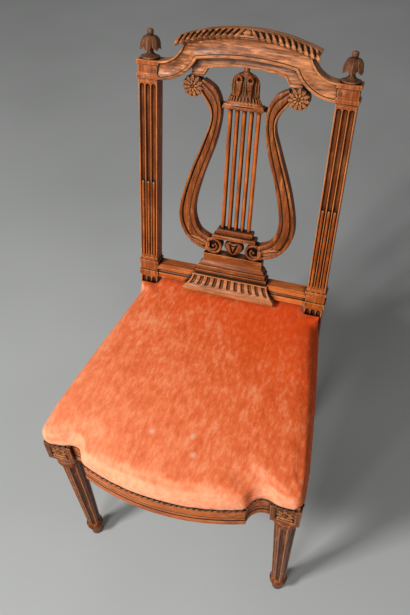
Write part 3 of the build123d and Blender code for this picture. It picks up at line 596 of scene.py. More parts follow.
class NodeSheet:
    """A material's node tree, with short calls to add and join its nodes."""

    def __init__(self, name: str) -> None:
        """Starts an empty sheet that ends in a Principled shader.

        Args:
            name: The material's name.
        """
        self.material = bpy.data.materials.new(name)
        self.material.use_nodes = True
        self.tree = self.material.node_tree
        self.tree.nodes.clear()
        self.shader = self.node("ShaderNodeBsdfPrincipled")
        self.node("ShaderNodeOutputMaterial", {0: self.shader.outputs[0]})
        self.object_space = self.node("ShaderNodeTexCoord").outputs["Object"]

    def fill(self, node: bpy.types.Node, inputs: dict) -> None:
        """Writes values on a node's sockets and joins outputs to them.

        Args:
            node: The node.
            inputs: Values or outputs for its sockets, by name or number.
        """
        for key, value in inputs.items():
            if isinstance(value, Socket):
                self.tree.links.new(value, node.inputs[key])
            else:
                node.inputs[key].default_value = value

    def node(self, kind: str, inputs: dict | None = None, **fields: object) -> bpy.types.Node:
        """Adds a node.

        Args:
            kind: Blender's name of the node.
            inputs: Values or outputs for its sockets, by name or number.
            fields: Values for the node's own fields.

        Returns:
            The node.
        """
        made = self.tree.nodes.new(kind)
        for key, value in fields.items():
            setattr(made, key, value)
        self.fill(made, inputs or {})
        return made

    def finish(self, inputs: dict) -> Finish:
        """Sets the shader.

        Args:
            inputs: Values or outputs for its sockets, by name.

        Returns:
            The finished material.
        """
        self.fill(self.shader, inputs)
        return self.material

    def noise(
        self,
        scale: float,
        detail: float,
        rough: float,
        stretch: Sequence[float] = (1, 1, 1),
        lean: float = 0.0,
    ) -> Socket:
        """A noise pattern in object space.

        Args:
            scale: Patches per metre.
            detail: How many finer layers it has.
            rough: How strong they are.
            stretch: Its pull along X, Y and Z.
            lean: Its turn about X, before it is pulled.

        Returns:
            The pattern's value, about a half.
        """
        leant = self.node("ShaderNodeMapping", {"Vector": self.object_space, "Rotation": (lean, 0.0, 0.0)})
        spread = self.node("ShaderNodeMapping", {"Vector": leant.outputs[0], "Scale": tuple(stretch)})
        inputs = {"Vector": spread.outputs[0], "Scale": scale, "Detail": detail, "Roughness": rough}
        return self.node("ShaderNodeTexNoise", inputs).outputs[0]

    def ramp(self, value: Socket, stops: Sequence[tuple[float, Colour]]) -> Socket:
        """Colours along a value.

        Args:
            value: The value to colour.
            stops: Places and their colours, in rising order.

        Returns:
            The colour.
        """
        made = self.node("ShaderNodeValToRGB", {0: value})
        elements = made.color_ramp.elements
        while len(elements) < len(stops):
            elements.new(0.5)
        for element, (place, colour) in zip(elements, stops):
            element.position = place
            element.color = (*colour, 1.0)
        return made.outputs[0]

    def level(self, value: Socket, low: float, high: float, a: float, b: float) -> Socket:
        """A value moved from one range to another, clamped.

        Args:
            value: The value to move.
            low: The range it comes from.
            high: The top of that range.
            a: What low becomes.
            b: What high becomes.

        Returns:
            The moved value.
        """
        inputs = {0: value, 1: low, 2: high, 3: a, 4: b}
        return self.node("ShaderNodeMapRange", inputs).outputs[0]

    def sum(self, a: Socket, b: Socket) -> Socket:
        """Two values added."""
        return self.node("ShaderNodeMath", {0: a, 1: b}, operation="ADD").outputs[0]

    def product(self, a: Socket, b: object) -> Socket:
        """Two values multiplied, the second a value or an output."""
        return self.node("ShaderNodeMath", {0: a, 1: b}, operation="MULTIPLY").outputs[0]

    def along(self, vector: Socket, way: object) -> Socket:
        """How far a vector points one way, given as a value or an output."""
        made = self.node("ShaderNodeVectorMath", {0: vector, 1: way}, operation="DOT_PRODUCT")
        return made.outputs["Value"]

    def mix(self, share: object, a: object, b: object) -> Socket:
        """One colour laid over another.

        Args:
            share: How much of the second shows.
            a: The first colour, as a value or an output.
            b: The second colour.

        Returns:
            The colour.
        """
        colours = {index: (*c, 1.0) if isinstance(c, tuple) else c for index, c in ((6, a), (7, b))}
        return self.node("ShaderNodeMix", {0: share, **colours}, data_type="RGBA").outputs[2]

    def spot(self, place: Point, radius: float, soft: float) -> Socket:
        """A round patch at a place.

        Args:
            place: Its middle, in metres.
            radius: Its size, in metres.
            soft: How far its edge fades.

        Returns:
            One inside the patch and nothing outside.
        """
        apart = self.node("ShaderNodeVectorMath", {0: self.object_space, 1: place}, operation="DISTANCE")
        return self.level(apart.outputs["Value"], radius - soft, radius + soft, 1.0, 0.0)


@dataclass(frozen=True)
class CarvedWood:
    """Waxed walnut-like wood with painted shade in its hollows, and edges painted pale as wear and as a
    highlight.
    """

    name: str
    grain: Grain
    deep: Colour = (0.055, 0.0105, 0.002)
    body: Colour = (0.19, 0.042, 0.007)
    pale: Colour = (0.36, 0.093, 0.018)
    # near-black colour painted into hollows as shade
    wax: Colour = (0.010, 0.004, 0.002)
    # pale colour for random scuffs and worn edges, also the painted highlight along every edge
    worn: Colour = (0.95, 0.37, 0.12)
    chip: Colour = (0.3, 0.2, 0.13)
    chips: tuple[Point, ...] = ()
    chip_size: Place = (0.0015, 0.0008)
    darkest: float = 0.97
    grime: float = 0.6
    scuffs: float = 0.35
    edge_radius: float = 0.0021
    # how far ambient occlusion looks for hollows to fill with painted shade
    hollow_reach: float = 0.011
    gloss: float = 0.05

    def make(self) -> Finish:
        """Builds the finish.

        Returns:
            The material.
        """
        sheet = NodeSheet(self.name)
        grain, lean = self.grain.value, self.grain.lean
        streaks = sheet.noise(330.0, 6.0, 0.62, grain, lean)
        pores = sheet.noise(1500.0, 3.0, 0.7, grain, lean)
        clouds = sheet.noise(13.0, 3.0, 0.5)
        patina = sheet.noise(110.0, 5.0, 0.68, [0.25 if share < 1 else 1.0 for share in grain], lean)
        colour = sheet.ramp(streaks, ((0.28, self.deep), (0.5, self.body), (0.74, self.pale)))
        colour = sheet.mix(sheet.level(clouds, 0.35, 0.7, 0.0, 0.55), colour, self.pale)
        colour = sheet.mix(sheet.level(patina, 0.5, 0.68, 0.0, self.grime), colour, self.deep)
        colour = sheet.mix(sheet.level(patina, 0.46, 0.3, 0.0, self.scuffs), colour, self.worn)
        colour = sheet.mix(sheet.level(pores, 0.58, 0.72, 0.0, 0.5), colour, self.deep)
        # edges painted pale all round: partly wear, partly a painted highlight
        rounded = sheet.node("ShaderNodeBevel", {"Radius": self.edge_radius}, samples=6).outputs[0]
        facing = sheet.along(rounded, sheet.node("ShaderNodeNewGeometry").outputs["Normal"])
        edge = sheet.level(facing, 0.994, 0.88, 0.0, 0.95)
        rubbed = sheet.product(edge, sheet.level(clouds, 0.3, 0.6, 0.55, 1.0))
        colour = sheet.mix(rubbed, colour, self.worn)
        # painted shade: ambient occlusion lays near-black colour into hollows, flutes and the gaps between
        # parts
        shade = sheet.node("ShaderNodeAmbientOcclusion", {"Distance": self.hollow_reach}, samples=8)
        shade_share = sheet.level(shade.outputs["AO"], 0.93, 0.64, 0.0, self.darkest)
        colour = sheet.mix(shade_share, colour, self.wax)
        for place in self.chips:
            colour = sheet.mix(sheet.spot(place, *self.chip_size), colour, self.chip)
        height = sheet.sum(streaks, pores)
        grooves = {"Strength": 0.22, "Distance": 0.0006, "Height": height, "Normal": rounded}
        return sheet.finish({
            "Base Color": colour,
            "Roughness": sheet.level(streaks, 0.3, 0.7, 0.46, 0.3),
            "Normal": sheet.node("ShaderNodeBump", grooves).outputs[0],
            "Specular IOR Level": 0.16,
            "Coat Weight": self.gloss,
            "Coat Roughness": 0.2,
        })


@dataclass(frozen=True)
class OrangeVelvet:
    """Cut velvet with a brush-marked nap and rubbed spots, with painted light: paler on the front and left
    towards the lamps, a painted highlight where it rolls over the edges that face them, and painted shade
    towards the back and right.
    """

    name: str = "orange_velvet"
    deep: Colour = (0.62, 0.07, 0.009)
    body: Colour = (0.82, 0.12, 0.02)
    # pale nap colour, also laid on the side towards the lamps as painted light
    brushed: Colour = (0.96, 0.33, 0.155)
    # painted highlight colour where the velvet faces the lamps
    edge: Colour = (0.98, 0.47, 0.27)
    shaded: Colour = (0.8, 0.06, 0.002)
    rubbed: Colour = (0.84, 0.5, 0.36)
    spots: tuple[Point, ...] = ()
    spot_size: Place = (0.004, 0.003)
    # the way towards the lamps in plan, which steers the painted light
    comb: Point = (-0.55, -0.83, 0.0)

    def make(self) -> Finish:
        """Builds the finish.

        Returns:
            The material.
        """
        sheet = NodeSheet(self.name)
        patches = sheet.noise(20.0, 6.0, 0.66, (1.0, 0.8, 1.0))
        strokes = sheet.noise(130.0, 6.0, 0.7, (1.0, 0.4, 1.0))
        pile = sheet.noise(900.0, 2.0, 0.6)
        nap = sheet.sum(sheet.product(patches, 0.38), sheet.product(strokes, 0.62))
        colour = sheet.ramp(nap, ((0.37, self.deep), (0.5, self.body), (0.65, self.brushed)))
        # how far the surface faces the lamps at the front-left
        lean = sheet.along(sheet.node("ShaderNodeNewGeometry").outputs["Normal"], self.comb)
        # how far a place lies towards the lamps at the front-left
        away = sheet.along(sheet.object_space, self.comb)
        uneven = sheet.level(nap, 0.36, 0.6, 0.45, 1.0)
        # painted light: paler towards the front and left, where the lamps stand, and painted shade towards
        # the back and right
        lit_side = sheet.product(sheet.level(away, -0.08, 0.26, 0.0, 0.6), uneven)
        colour = sheet.mix(lit_side, colour, self.brushed)
        colour = sheet.mix(sheet.level(away, 0.0, -0.15, 0.0, 0.65), colour, self.shaded)
        # painted highlight where the velvet rolls over the edges that face the lamps
        lit_roll = sheet.product(sheet.level(lean, 0.05, 0.7, 0.0, 0.8), uneven)
        colour = sheet.mix(lit_roll, colour, self.edge)
        for place in self.spots:
            faint = sheet.product(sheet.spot(place, *self.spot_size), 0.7)
            colour = sheet.mix(faint, colour, self.rubbed)
        colour = sheet.mix(sheet.level(pile, 0.35, 0.65, 0.12, 0.0), colour, self.deep)
        height = sheet.sum(pile, sheet.product(strokes, 1.4))
        bump = sheet.node("ShaderNodeBump", {"Strength": 0.5, "Distance": 0.0009, "Height": height})
        return sheet.finish({
            "Base Color": colour,
            "Normal": bump.outputs[0],
            "Roughness": 0.92,
            "Specular IOR Level": 0.15,
            "Sheen Weight": 0.13,
            "Sheen Roughness": 0.45,
            "Sheen Tint": (1.0, 0.5, 0.28, 1.0),
        })


@dataclass(frozen=True)
class PlainCloth:
    """Jute cloth of one weave, as it shows under the seat."""

    name: str
    weave: Weave
    thread: Colour
    gap: Colour
    threads_per_scale: float = 6.3

    def make(self) -> Finish:
        """Builds the finish.

        Returns:
            The material.
        """
        sheet = NodeSheet(self.name)
        scale = self.weave.value / self.threads_per_scale
        inputs = {"Vector": sheet.object_space, "Scale": scale, "Distortion": 0.4, "Detail": 1.0}
        warp = sheet.node("ShaderNodeTexWave", inputs, bands_direction="X").outputs[1]
        weft = sheet.node("ShaderNodeTexWave", inputs, bands_direction="Y").outputs[1]
        cloth = sheet.product(warp, weft)
        dust = sheet.noise(40.0, 4.0, 0.6)
        colour = sheet.ramp(cloth, ((0.05, self.gap), (0.5, self.thread)))
        colour = sheet.mix(sheet.level(dust, 0.4, 0.7, 0.0, 0.5), colour, self.gap)
        bump = sheet.node("ShaderNodeBump", {"Strength": 0.6, "Distance": 0.0008, "Height": cloth})
        return sheet.finish({"Base Color": colour, "Normal": bump.outputs[0], "Roughness": 0.95})


@dataclass(frozen=True)
class NailMetal:
    """Small nails gone dark with age."""

    name: str = "dark_nails"
    rust: Colour = (0.05, 0.026, 0.014)
    rubbed: Colour = (0.21, 0.13, 0.075)

    def make(self) -> Finish:
        """Builds the finish.

        Returns:
            The material.
        """
        sheet = NodeSheet(self.name)
        age = sheet.noise(260.0, 4.0, 0.6)
        return sheet.finish({
            "Base Color": sheet.ramp(age, ((0.4, self.rust), (0.68, self.rubbed))),
            "Roughness": sheet.level(age, 0.35, 0.65, 0.6, 0.35),
            "Metallic": 0.7,
        })


class Finishes:
    """All the chair's materials, made once."""

    def __init__(self) -> None:
        """Builds every finish."""
        self.raked = CarvedWood("wood_raked", Grain.RAKED).make()
        self.across = CarvedWood("wood_across", Grain.ACROSS).make()
        self.deep = CarvedWood("wood_deep", Grain.DEEP).make()
        self.warm = CarvedWood(
            "wood_warm", Grain.ACROSS, (0.12, 0.02, 0.003), (0.4, 0.08, 0.01), (0.72, 0.18, 0.028)
        ).make()
        self.sunlit = CarvedWood(
            "wood_faded", Grain.ACROSS, (0.035, 0.01, 0.004), (0.29, 0.083, 0.023), (0.76, 0.3, 0.12),
            grime=0.92, scuffs=0.75,
        ).make()
        self.strings = CarvedWood(
            "wood_strings", Grain.RAKED, (0.12, 0.022, 0.003), (0.42, 0.088, 0.012), (0.7, 0.18, 0.03)
        ).make()
        # darker wood for the front legs, with a deeper painted shade in the flutes and a wider painted
        # highlight along the edges
        self.legs = CarvedWood(
            "wood_legs", Grain.UPRIGHT, (0.03, 0.006, 0.0015), (0.13, 0.027, 0.004), (0.28, 0.066, 0.011),
            darkest=0.99, edge_radius=0.0032, gloss=0.06,
        ).make()
        self.apron = CarvedWood(
            "wood_apron", Grain.ACROSS, (0.1, 0.025, 0.007), (0.37, 0.107, 0.029), (0.68, 0.26, 0.1),
            darkest=0.8,
        ).make()
        self.stiles = CarvedWood(
            "wood_stiles", Grain.RAKED, (0.08, 0.014, 0.002), (0.28, 0.056, 0.007), (0.52, 0.125, 0.019),
            chips=chip_places(),
        ).make()
        self.finials = CarvedWood(
            "wood_finials", Grain.RAKED, (0.03, 0.01, 0.004), (0.11, 0.037, 0.014), (0.2, 0.08, 0.036),
            worn=(0.42, 0.19, 0.09),
        ).make()
        self.plain = CarvedWood(
            "wood_plain", Grain.ACROSS, (0.13, 0.065, 0.03), (0.26, 0.15, 0.07), (0.36, 0.22, 0.11)
        ).make()
        rubbed = ((0.0325, -0.1852, 0.4565), (0.0425, -0.2176, 0.4533), (-0.0375, -0.1952, 0.4555))
        self.velvet = OrangeVelvet(spots=rubbed).make()
        jute, jute_gap = (0.36, 0.25, 0.13), (0.12, 0.08, 0.04)
        self.webbing = PlainCloth("jute_webbing", Weave.WEBBING, jute, jute_gap).make()
        self.hessian = PlainCloth("hessian", Weave.HESSIAN, (0.4, 0.29, 0.16), (0.1, 0.065, 0.035)).make()
        self.nails = NailMetal().make()


def back_place(x: float, depth: float, height: float) -> Point:
    """A place on the raked back, in metres.

    Args:
        x: Across, in millimetres.
        depth: Behind the front of the stile blocks.
        height: Along the rake.

    Returns:
        The place in the chair's frame.
    """
    y = BACK_FOOT_Y + height * math.sin(RAKE) + depth * math.cos(RAKE)
    return x * MM, y * MM, (height * math.cos(RAKE) - depth * math.sin(RAKE)) * MM


def chip_places() -> tuple[Point, ...]:
    """Where the reeds in the stiles are chipped pale at their tops.

    Returns:
        Their places, in metres.
    """
    top = RearLegs.reed_top - 1
    across = [side.value * RearLegs.x + step * RearLegs.pitch for side in Side for step in (-1, 0, 1)]
    return tuple(back_place(x, 1.0, top) for x in across)


def dress(piece: Piece, finish: Finish, slot: str, *nodes: str, angle: float = 38.0) -> None:
    """Finishes a new piece: smooth shading, material, body and the CAD nodes it stands for.

    Args:
        piece: The modelled piece, with its place in its mesh.
        finish: Its material.
        slot: The record's material slot, not used.
        nodes: CAD nodes that it replaces.
        angle: Edges sharper than this stay crisp, in degrees.
    """
    activate(piece)
    bpy.ops.object.shade_smooth_by_angle(angle=math.radians(angle))
    piece.data.materials.clear()
    piece.data.materials.append(finish)
    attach(piece, BODY)
    if nodes:
        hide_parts(*nodes)
    log.info("%s: %d faces", piece.name, len(piece.data.polygons))


def dress_pair(right: Piece, left: Piece, finish: Finish, node: str, angle: float = 38.0) -> None:
    """Finishes a wooden piece and its twin, right before left.

    Args:
        right: The piece for the right side.
        left: The piece for the left side.
        finish: Their material.
        node: Name of the CAD nodes that they replace, without the side.
        angle: Edges sharper than this stay crisp, in degrees.
    """
    for side, piece in ((Side.RIGHT, right), (Side.LEFT, left)):
        dress(piece, finish, WOOD, f"{node}_{side.word}", angle=angle)


# The chair


@dataclass
class CadJoinery:
    """The joined members that stay as the CAD made them and only take a finish."""

    across: tuple[str, ...] = ("rear_seat_rail", "lyre_yoke")
    warm: tuple[str, ...] = ("lower_back_rail", "front_seat_rail")
    deep: tuple[str, ...] = ("side_seat_rail_left", "side_seat_rail_right")
    plain: tuple[str, ...] = tuple(
        f"corner_block_{end}_{side}" for end in ("front", "rear") for side in ("left", "right")
    )

    def dress(self, finishes: Finishes) -> None:
        """Gives every member its finish.

        Args:
            finishes: The chair's materials.
        """
        for names, finish in (
            (self.across, finishes.across),
            (self.warm, finishes.warm),
            (self.deep, finishes.deep),
            (self.plain, finishes.plain),
        ):
            for name in names:
                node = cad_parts[name]
                node.data.materials.clear()
                node.data.materials.append(finish)
                log.info("%s keeps its CAD form", name)


@dataclass
class LyreBack:
    """The carved lyre: arms, rosettes, capital, heart boss, strings and their base, plinth and apron."""

    front: float = 14.0
    rear: float = 30.0
    rosette: Place = (91.0, 871.0)
    rosette_radius: float = 19.0
    volute: Place = (40.0, 575.0)
    volute_radius: float = 17.6
    petal_rings: tuple[tuple[int, float, float, Point, float], ...] = (
        (11, 12.2, 11.4, (3.2, 3.0, 6.8), 0.0),
        (8, 6.2, 9.8, (2.0, 1.8, 3.6), 0.2),
    )
    arm_near: tuple[Place, ...] = (
        (73, 884), (50, 869), (39, 836), (46, 780), (69, 706), (81, 645), (71, 605), (48, 590),
    )
    arm_far: tuple[Place, ...] = (
        (82, 868), (60, 835), (58, 812), (69, 780), (97, 703), (111, 641), (106, 604), (84, 574), (48, 560),
    )
    arm_profile: tuple[Place, ...] = (
        (0.0, 0.0), (0.02, 2.0), (0.06, 2.8), (0.2, 2.8), (0.24, 2.2), (0.27, 0.4), (0.31, 0.4), (0.34, 1.6),
        (0.4, 2.0), (0.5, 2.1), (0.62, 1.9), (0.69, 1.2), (0.73, -0.9), (0.77, -0.9), (0.8, 1.6),
        (0.84, 2.6), (0.94, 2.8), (0.98, 2.0), (1.0, 0.0),
    )
    strings: int = 5
    string_pitch: float = 12.5
    string_radius: float = 4.1
    string_oval: float = 1.35
    string_low: float = 607.0
    string_high: float = 846.0
    capital_low: float = 841.5
    capital_depth: float = 16.5
    leaf_place: Point = (54.0, 12.6, 571.0)
    leaf_turn: float = 68.0
    heart_half: float = 19.4
    heart_rise: float = 17.0
    heart_drop: float = 18.0
    heart_depth: float = 20.0
    heart_height: float = 576.0
    plinth_rear: float = 31.0
    plinth_levels: tuple[Point, ...] = (
        (514.0, 70.6, 3.4), (514.8, 71.0, 3.0), (521.2, 71.0, 3.0), (522.0, 70.4, 3.5), (522.2, 66.2, 5.4),
        (523.4, 66.2, 5.4), (523.6, 67.6, 4.4), (530.6, 67.4, 4.5), (531.8, 66.4, 5.1), (532.2, 63.2, 6.9),
        (533.4, 63.2, 6.9), (533.6, 64.4, 6.2), (535.6, 64.2, 6.4), (538.4, 61.2, 7.7), (540.4, 59.6, 8.5),
        (541.0, 58.0, 9.2), (557.2, 58.2, 9.0), (558.0, 57.6, 9.5),
    )
    base_levels: tuple[Level, ...] = (
        (592.0, 41.4, 9.4, 32.6), (592.8, 42.0, 9.0, 33.0), (598.4, 42.0, 9.0, 33.0),
        (600.4, 40.0, 10.4, 31.6), (601.0, 31.0, 13.2, 28.8), (603.0, 31.0, 13.2, 28.8),
        (603.6, 34.2, 11.4, 30.6), (604.6, 35.0, 11.0, 31.0), (610.4, 35.0, 11.0, 31.0),
        (612.0, 33.6, 11.8, 30.2),
    )
    apron_low: float = 479.0
    apron_fillet: float = 486.0
    apron_cove: float = 512.0
    apron_scoop_low: float = 492.5
    apron_top: float = 514.0
    apron_half: Place = (92.0, 76.0)
    apron_proud: Place = (15.0, 6.0)
    apron_flutes: int = 11
    apron_flare: float = 1.8
    scoop_share: float = 0.54
    scoop_depth: float = 1.1
    rail_front: float = 2.0

    def build(self, finishes: Finishes) -> None:
        """Models every carved piece of the lyre.

        Args:
            finishes: The chair's materials.
        """
        arm = raked(self.arm())
        rosette = raked(self.rosette_flower())
        for side in Side:
            twin = copy_of if side is Side.RIGHT else mirrored
            whole = twin(arm, f"lyre_arm_carved_{side.word}")
            dress(whole, finishes.raked, WOOD, f"lyre_arm_{side.word}")
            flower = twin(rosette, f"rosette_carved_{side.word}")
            dress(flower, finishes.raked, WOOD, f"rosette_{side.word}")
        discard(arm, rosette)
        dress(raked(self.capital()), finishes.raked, WOOD, "lyre_capital")
        dress(raked(self.heart()), finishes.raked, WOOD, "lyre_boss")
        for step in range(self.strings):
            dress(raked(self.string(step)), finishes.strings, WOOD, f"lyre_string_{step + 1}")
        plinth = stack("lyre_plinth_moulded", [(*level, self.plinth_rear) for level in self.plinth_levels])
        dress(raked(plinth), finishes.across, WOOD, "lyre_plinth", angle=CRISP)
        base = stack("string_base_moulded", self.base_levels)
        dress(raked(base), finishes.across, WOOD, "lyre_string_base", angle=CRISP)
        dress(raked(self.apron()), finishes.apron, WOOD, "lyre_apron")

    def apron(self) -> Piece:
        """The flaring apron under the plinth, with a row of scoops that end round, upright.

        Returns:
            The apron.
        """
        per_scoop, rows = 14, 36
        columns = per_scoop * self.apron_flutes

        def shape(column: int, row: int) -> Point:
            """Where a point of the scooped face lies.

            Args:
                column: Its column in the grid.
                row: Its row in the grid.

            Returns:
                The place, in millimetres.
            """
            rise = row / rows
            flare = (1 - rise) ** self.apron_flare
            half = self.apron_half[1] + (self.apron_half[0] - self.apron_half[1]) * flare
            proud = self.apron_proud[1] + (self.apron_proud[0] - self.apron_proud[1]) * flare - 1.0
            height = self.apron_fillet + (self.apron_cove - self.apron_fillet) * rise
            width = half / self.apron_flutes
            aside = (2 * (column % per_scoop) / per_scoop - 1) * width
            reach = self.scoop_share * width
            climb = height - self.apron_scoop_low
            if climb < reach:
                reach = math.sqrt(max(0.0, reach**2 - (reach - max(0.0, climb)) ** 2))
            cut = self.scoop_depth * math.sqrt(max(0.0, reach**2 - aside**2))
            return (2 * column / columns - 1) * (half - 1.0), self.rail_front - max(0.6, proud - cut), height

        face = relief("apron_scoops", columns, rows, shape, self.rail_front)
        foot_front = self.rail_front - self.apron_proud[0]
        foot_half = self.apron_half[0]
        foot = stack("apron_fillet", (
            (self.apron_low, foot_half - 0.8, foot_front + 0.8, self.rail_front),
            (self.apron_low + 1.0, foot_half, foot_front, self.rail_front),
            (self.apron_low + 6.0, foot_half, foot_front, self.rail_front),
            (self.apron_fillet, foot_half - 0.8, foot_front + 0.8, self.rail_front),
        ))
        head_front = self.rail_front - self.apron_proud[1]
        head_half = self.apron_half[1]
        head = stack("apron_head", (
            (self.apron_cove, head_half - 0.6, head_front + 0.6, self.rail_front),
            (self.apron_top - 1.0, head_half, head_front, self.rail_front),
            (self.apron_top, head_half - 0.4, head_front + 0.4, self.rail_front),
        ))
        return joined([face, foot, head], "lyre_apron_carved")

    def arm(self) -> Piece:
        """The right arm with its scroll and its leaf, upright.

        Returns:
            The arm.
        """
        near = smooth_line(self.arm_near, 10)
        far = smooth_line(self.arm_far, 10)
        far = [far[round(i * (len(far) - 1) / (len(near) - 1))] for i in range(len(near))]
        bar = moulded_bar("arm_bar", near, far, self.arm_profile, self.front, self.rear)
        radius = self.rosette_radius - 1
        seat = self.turned_disc("arm_rosette_seat", self.rosette, radius, self.front, self.rear)
        scroll = self.scroll()
        leaf = self.arm_leaf()
        return joined([bar, seat, *scroll, leaf], "lyre_arm")

    def turned_disc(self, name: str, middle: Place, radius: float, front: float, rear: float) -> Piece:
        """A disc with an eased edge, facing forward.

        Args:
            name: The piece's name.
            middle: Its place across and up.
            radius: Its radius.
            front: Depth of its face.
            rear: Depth of its back.

        Returns:
            The disc, upright.
        """
        deep = rear - front
        rings = ((0, radius), (deep - 1.5, radius), (deep - 0.4, radius - 0.5), (deep, radius - 1.6))
        disc = turned(name, rings, 40)
        return put(disc, at_mm(middle[0], rear, middle[1]) @ FACING)

    def scroll(self) -> list[Piece]:
        """The curled end of the arm: a sunk disc, a spiral ridge and a curled bud.

        Returns:
            The disc, the ridge and the bud.
        """
        disc = self.turned_disc("scroll_disc", self.volute, self.volute_radius - 1.0, 19.5, self.rear)
        turns, steps = 1.7, 60
        bpy.ops.curve.primitive_bezier_curve_add()
        ridge = bpy.context.object
        ridge.data.splines.clear()
        spline = ridge.data.splines.new("POLY")
        spline.points.add(steps)
        for step, point in enumerate(spline.points):
            share = step / steps
            angle = -0.35 + turns * 2 * math.pi * share
            curl = max(0.0, share - 0.5) / 0.5
            radius = (self.volute_radius - 3.0) * (1 - curl) + 5.0 * curl
            x = self.volute[0] + radius * math.cos(angle)
            w = self.volute[1] - radius * math.sin(angle)
            point.co = (x * MM, (13.0 + 1.5 * curl) * MM, w * MM, 1)
            point.radius = 1.05 - 0.25 * curl
        ridge.data.dimensions = "3D"
        ridge.data.bevel_depth = 3.0 * MM
        ridge.data.bevel_resolution = 3
        ridge.data.use_fill_caps = True
        activate(ridge)
        bpy.ops.object.convert(target="MESH")
        ridge = bpy.context.object
        ridge.name = "scroll_ridge"
        bud = put(bead("scroll_bud", (3.8, 4.4, 3.8)), at_mm(self.volute[0], 14.0, self.volute[1]))
        return [disc, ridge, bud]

    def arm_leaf(self) -> Piece:
        """The leaf that wraps the arm where it curls into the scroll.

        Returns:
            The leaf in its place.
        """
        leaf = carved_leaf("arm_leaf", 40.0, 21.0, 3.0, 1.5, 4, 2.0)
        turn = Matrix.Rotation(math.radians(self.leaf_turn), 4, "Y")
        return put(leaf, at_mm(*self.leaf_place) @ turn)

    def rosette_flower(self) -> Piece:
        """The right rosette: two rings of petals round a button, upright.

        Returns:
            The rosette.
        """
        pieces = []
        for count, ring, depth, half, lean in self.petal_rings:
            petal = bead("petal", half, 10)
            for point in petal.data.vertices:
                groove = math.exp(-((point.co.x / (0.3 * half[0] * MM)) ** 2))
                if point.co.y < 0:
                    point.co.y += 0.5 * half[1] * MM * groove
            put(petal, at_mm(0, depth, ring))
            pieces += ring_of(petal, count, "Y", lean)
        pieces.append(put(bead("button", (2.8, 2.8, 2.8)), at_mm(0, 11.0, 0)))
        back = turned("rosette_back", ((0, 15.5), (2.4, 15.0), (3.2, 12.0)), 32)
        pieces.append(put(back, at_mm(0, 14, 0) @ FACING))
        flower = joined(pieces, "rosette")
        return put(flower, at_mm(self.rosette[0], 0, self.rosette[1]))

    def string(self, step: int) -> Piece:
        """One string, upright.

        Args:
            step: Its number from the left, from nothing.

        Returns:
            The string.
        """
        low, high, radius = self.string_low, self.string_high, self.string_radius
        slim = radius * 0.96
        rings = ((low, radius), (low + 8, radius), (low + 10, slim), (high - 8, slim), (high, radius))
        rod = turned(f"string_{step + 1}", rings, 24, oval=self.string_oval)
        across = (step - (self.strings - 1) / 2) * self.string_pitch
        return put(rod, at_mm(across, (self.front + self.rear) / 2, 0))

    def capital(self) -> Piece:
        """The leafy bell over the strings, upright.

        Returns:
            The capital.
        """
        low = self.capital_low
        slab = stack("capital_slab", (
            (low, 33.8, -8.6, 8.6), (low + 1.6, 36.0, -10.5, 10.5), (low + 5.6, 36.0, -10.5, 10.5),
            (low + 6.4, 34.6, -9.4, 9.4), (low + 9.0, 34.0, -9.0, 9.0),
        ))
        bell_rings = (
            (low + 8, 34.4), (low + 9.6, 33.0), (low + 12, 30.6), (low + 16, 28.0), (low + 21, 25.8),
            (low + 27, 24.6), (low + 40, 24.4), (low + 47, 23.4), (low + 53, 20.6), (low + 57.5, 15.6),
            (low + 60.5, 9.6), (low + 62.5, 5.0),
        )
        oval = 0.34
        pieces = [slab, turned("capital_bell", bell_rings, 48, oval=oval)]
        for x in (-9.6, 9.6):
            pieces += self.capital_leaf(x, low)
        for turn in range(-72, 73, 12):
            reed = bead("skirt_reed", (1.8, 1.5, 8.0), 10)
            spot = math.radians(turn)
            place = at_mm(29.0 * math.sin(spot), -29.0 * oval * math.cos(spot), low + 15.5)
            pieces.append(put(reed, place @ Matrix.Rotation(-spot, 4, "Z") @ Matrix.Rotation(0.3, 4, "X")))
        for x, high in ((-2.2, 36.0), (2.2, 36.0), (-18.2, 38.0), (18.2, 38.0), (-22.4, 36.0), (22.4, 36.0)):
            ridge = bead("bell_ridge", (1.6, 1.8, 13.5), 10)
            depth = -24.4 * oval * math.sqrt(max(0.0, 1 - (x / 24.8) ** 2))
            pieces.append(put(ridge, at_mm(x, depth, low + high)))
        knob_rings = ((low + 60, 3.4), (low + 63, 4.6), (low + 66, 5.0), (low + 69, 4.2), (low + 71.5, 2.6))
        pieces.append(turned("capital_bead", knob_rings, 24))
        return put(joined(pieces, "lyre_capital_carved"), at_mm(0, self.capital_depth, 0))

    def capital_leaf(self, x: float, low: float) -> list[Piece]:
        """One big leaf on the bell: a drop that points down, under a raised loop.

        Args:
            x: Its place across.
            low: Height of the bell's foot.

        Returns:
            The drop and its loop.
        """
        side = math.copysign(1.0, x)
        drop = bead("leaf_drop", (7.0, 4.0, 14.5), 36)
        for point in drop.data.vertices:
            across, _, up = point.co / MM
            along = up / 14.5
            point.co.x *= 0.74 + 0.28 * along
            if point.co.y < 0:
                rib = math.sin(1.25 * (up - 1.1 * side * across)) * 0.7 * max(0.0, 1 - abs(along))
                vein = 1.2 * math.exp(-((across / 1.1) ** 2))
                point.co.y += (rib + vein) * MM
        put(drop, at_mm(x, -9.8, low + 35.5) @ Matrix.Rotation(math.radians(-5 * side), 4, "Y"))
        bpy.ops.mesh.primitive_torus_add(
            major_segments=28,
            minor_segments=12,
            major_radius=4.4 * MM,
            minor_radius=2.0 * MM,
            rotation=(math.pi / 2, 0, 0),
        )
        loop = bpy.context.object
        settle(loop)
        loop.scale.z = 1.45
        settle(loop)
        put(loop, at_mm(x, -10.4, low + 50.5) @ Matrix.Rotation(math.radians(16), 4, "X"))
        return [drop, loop]

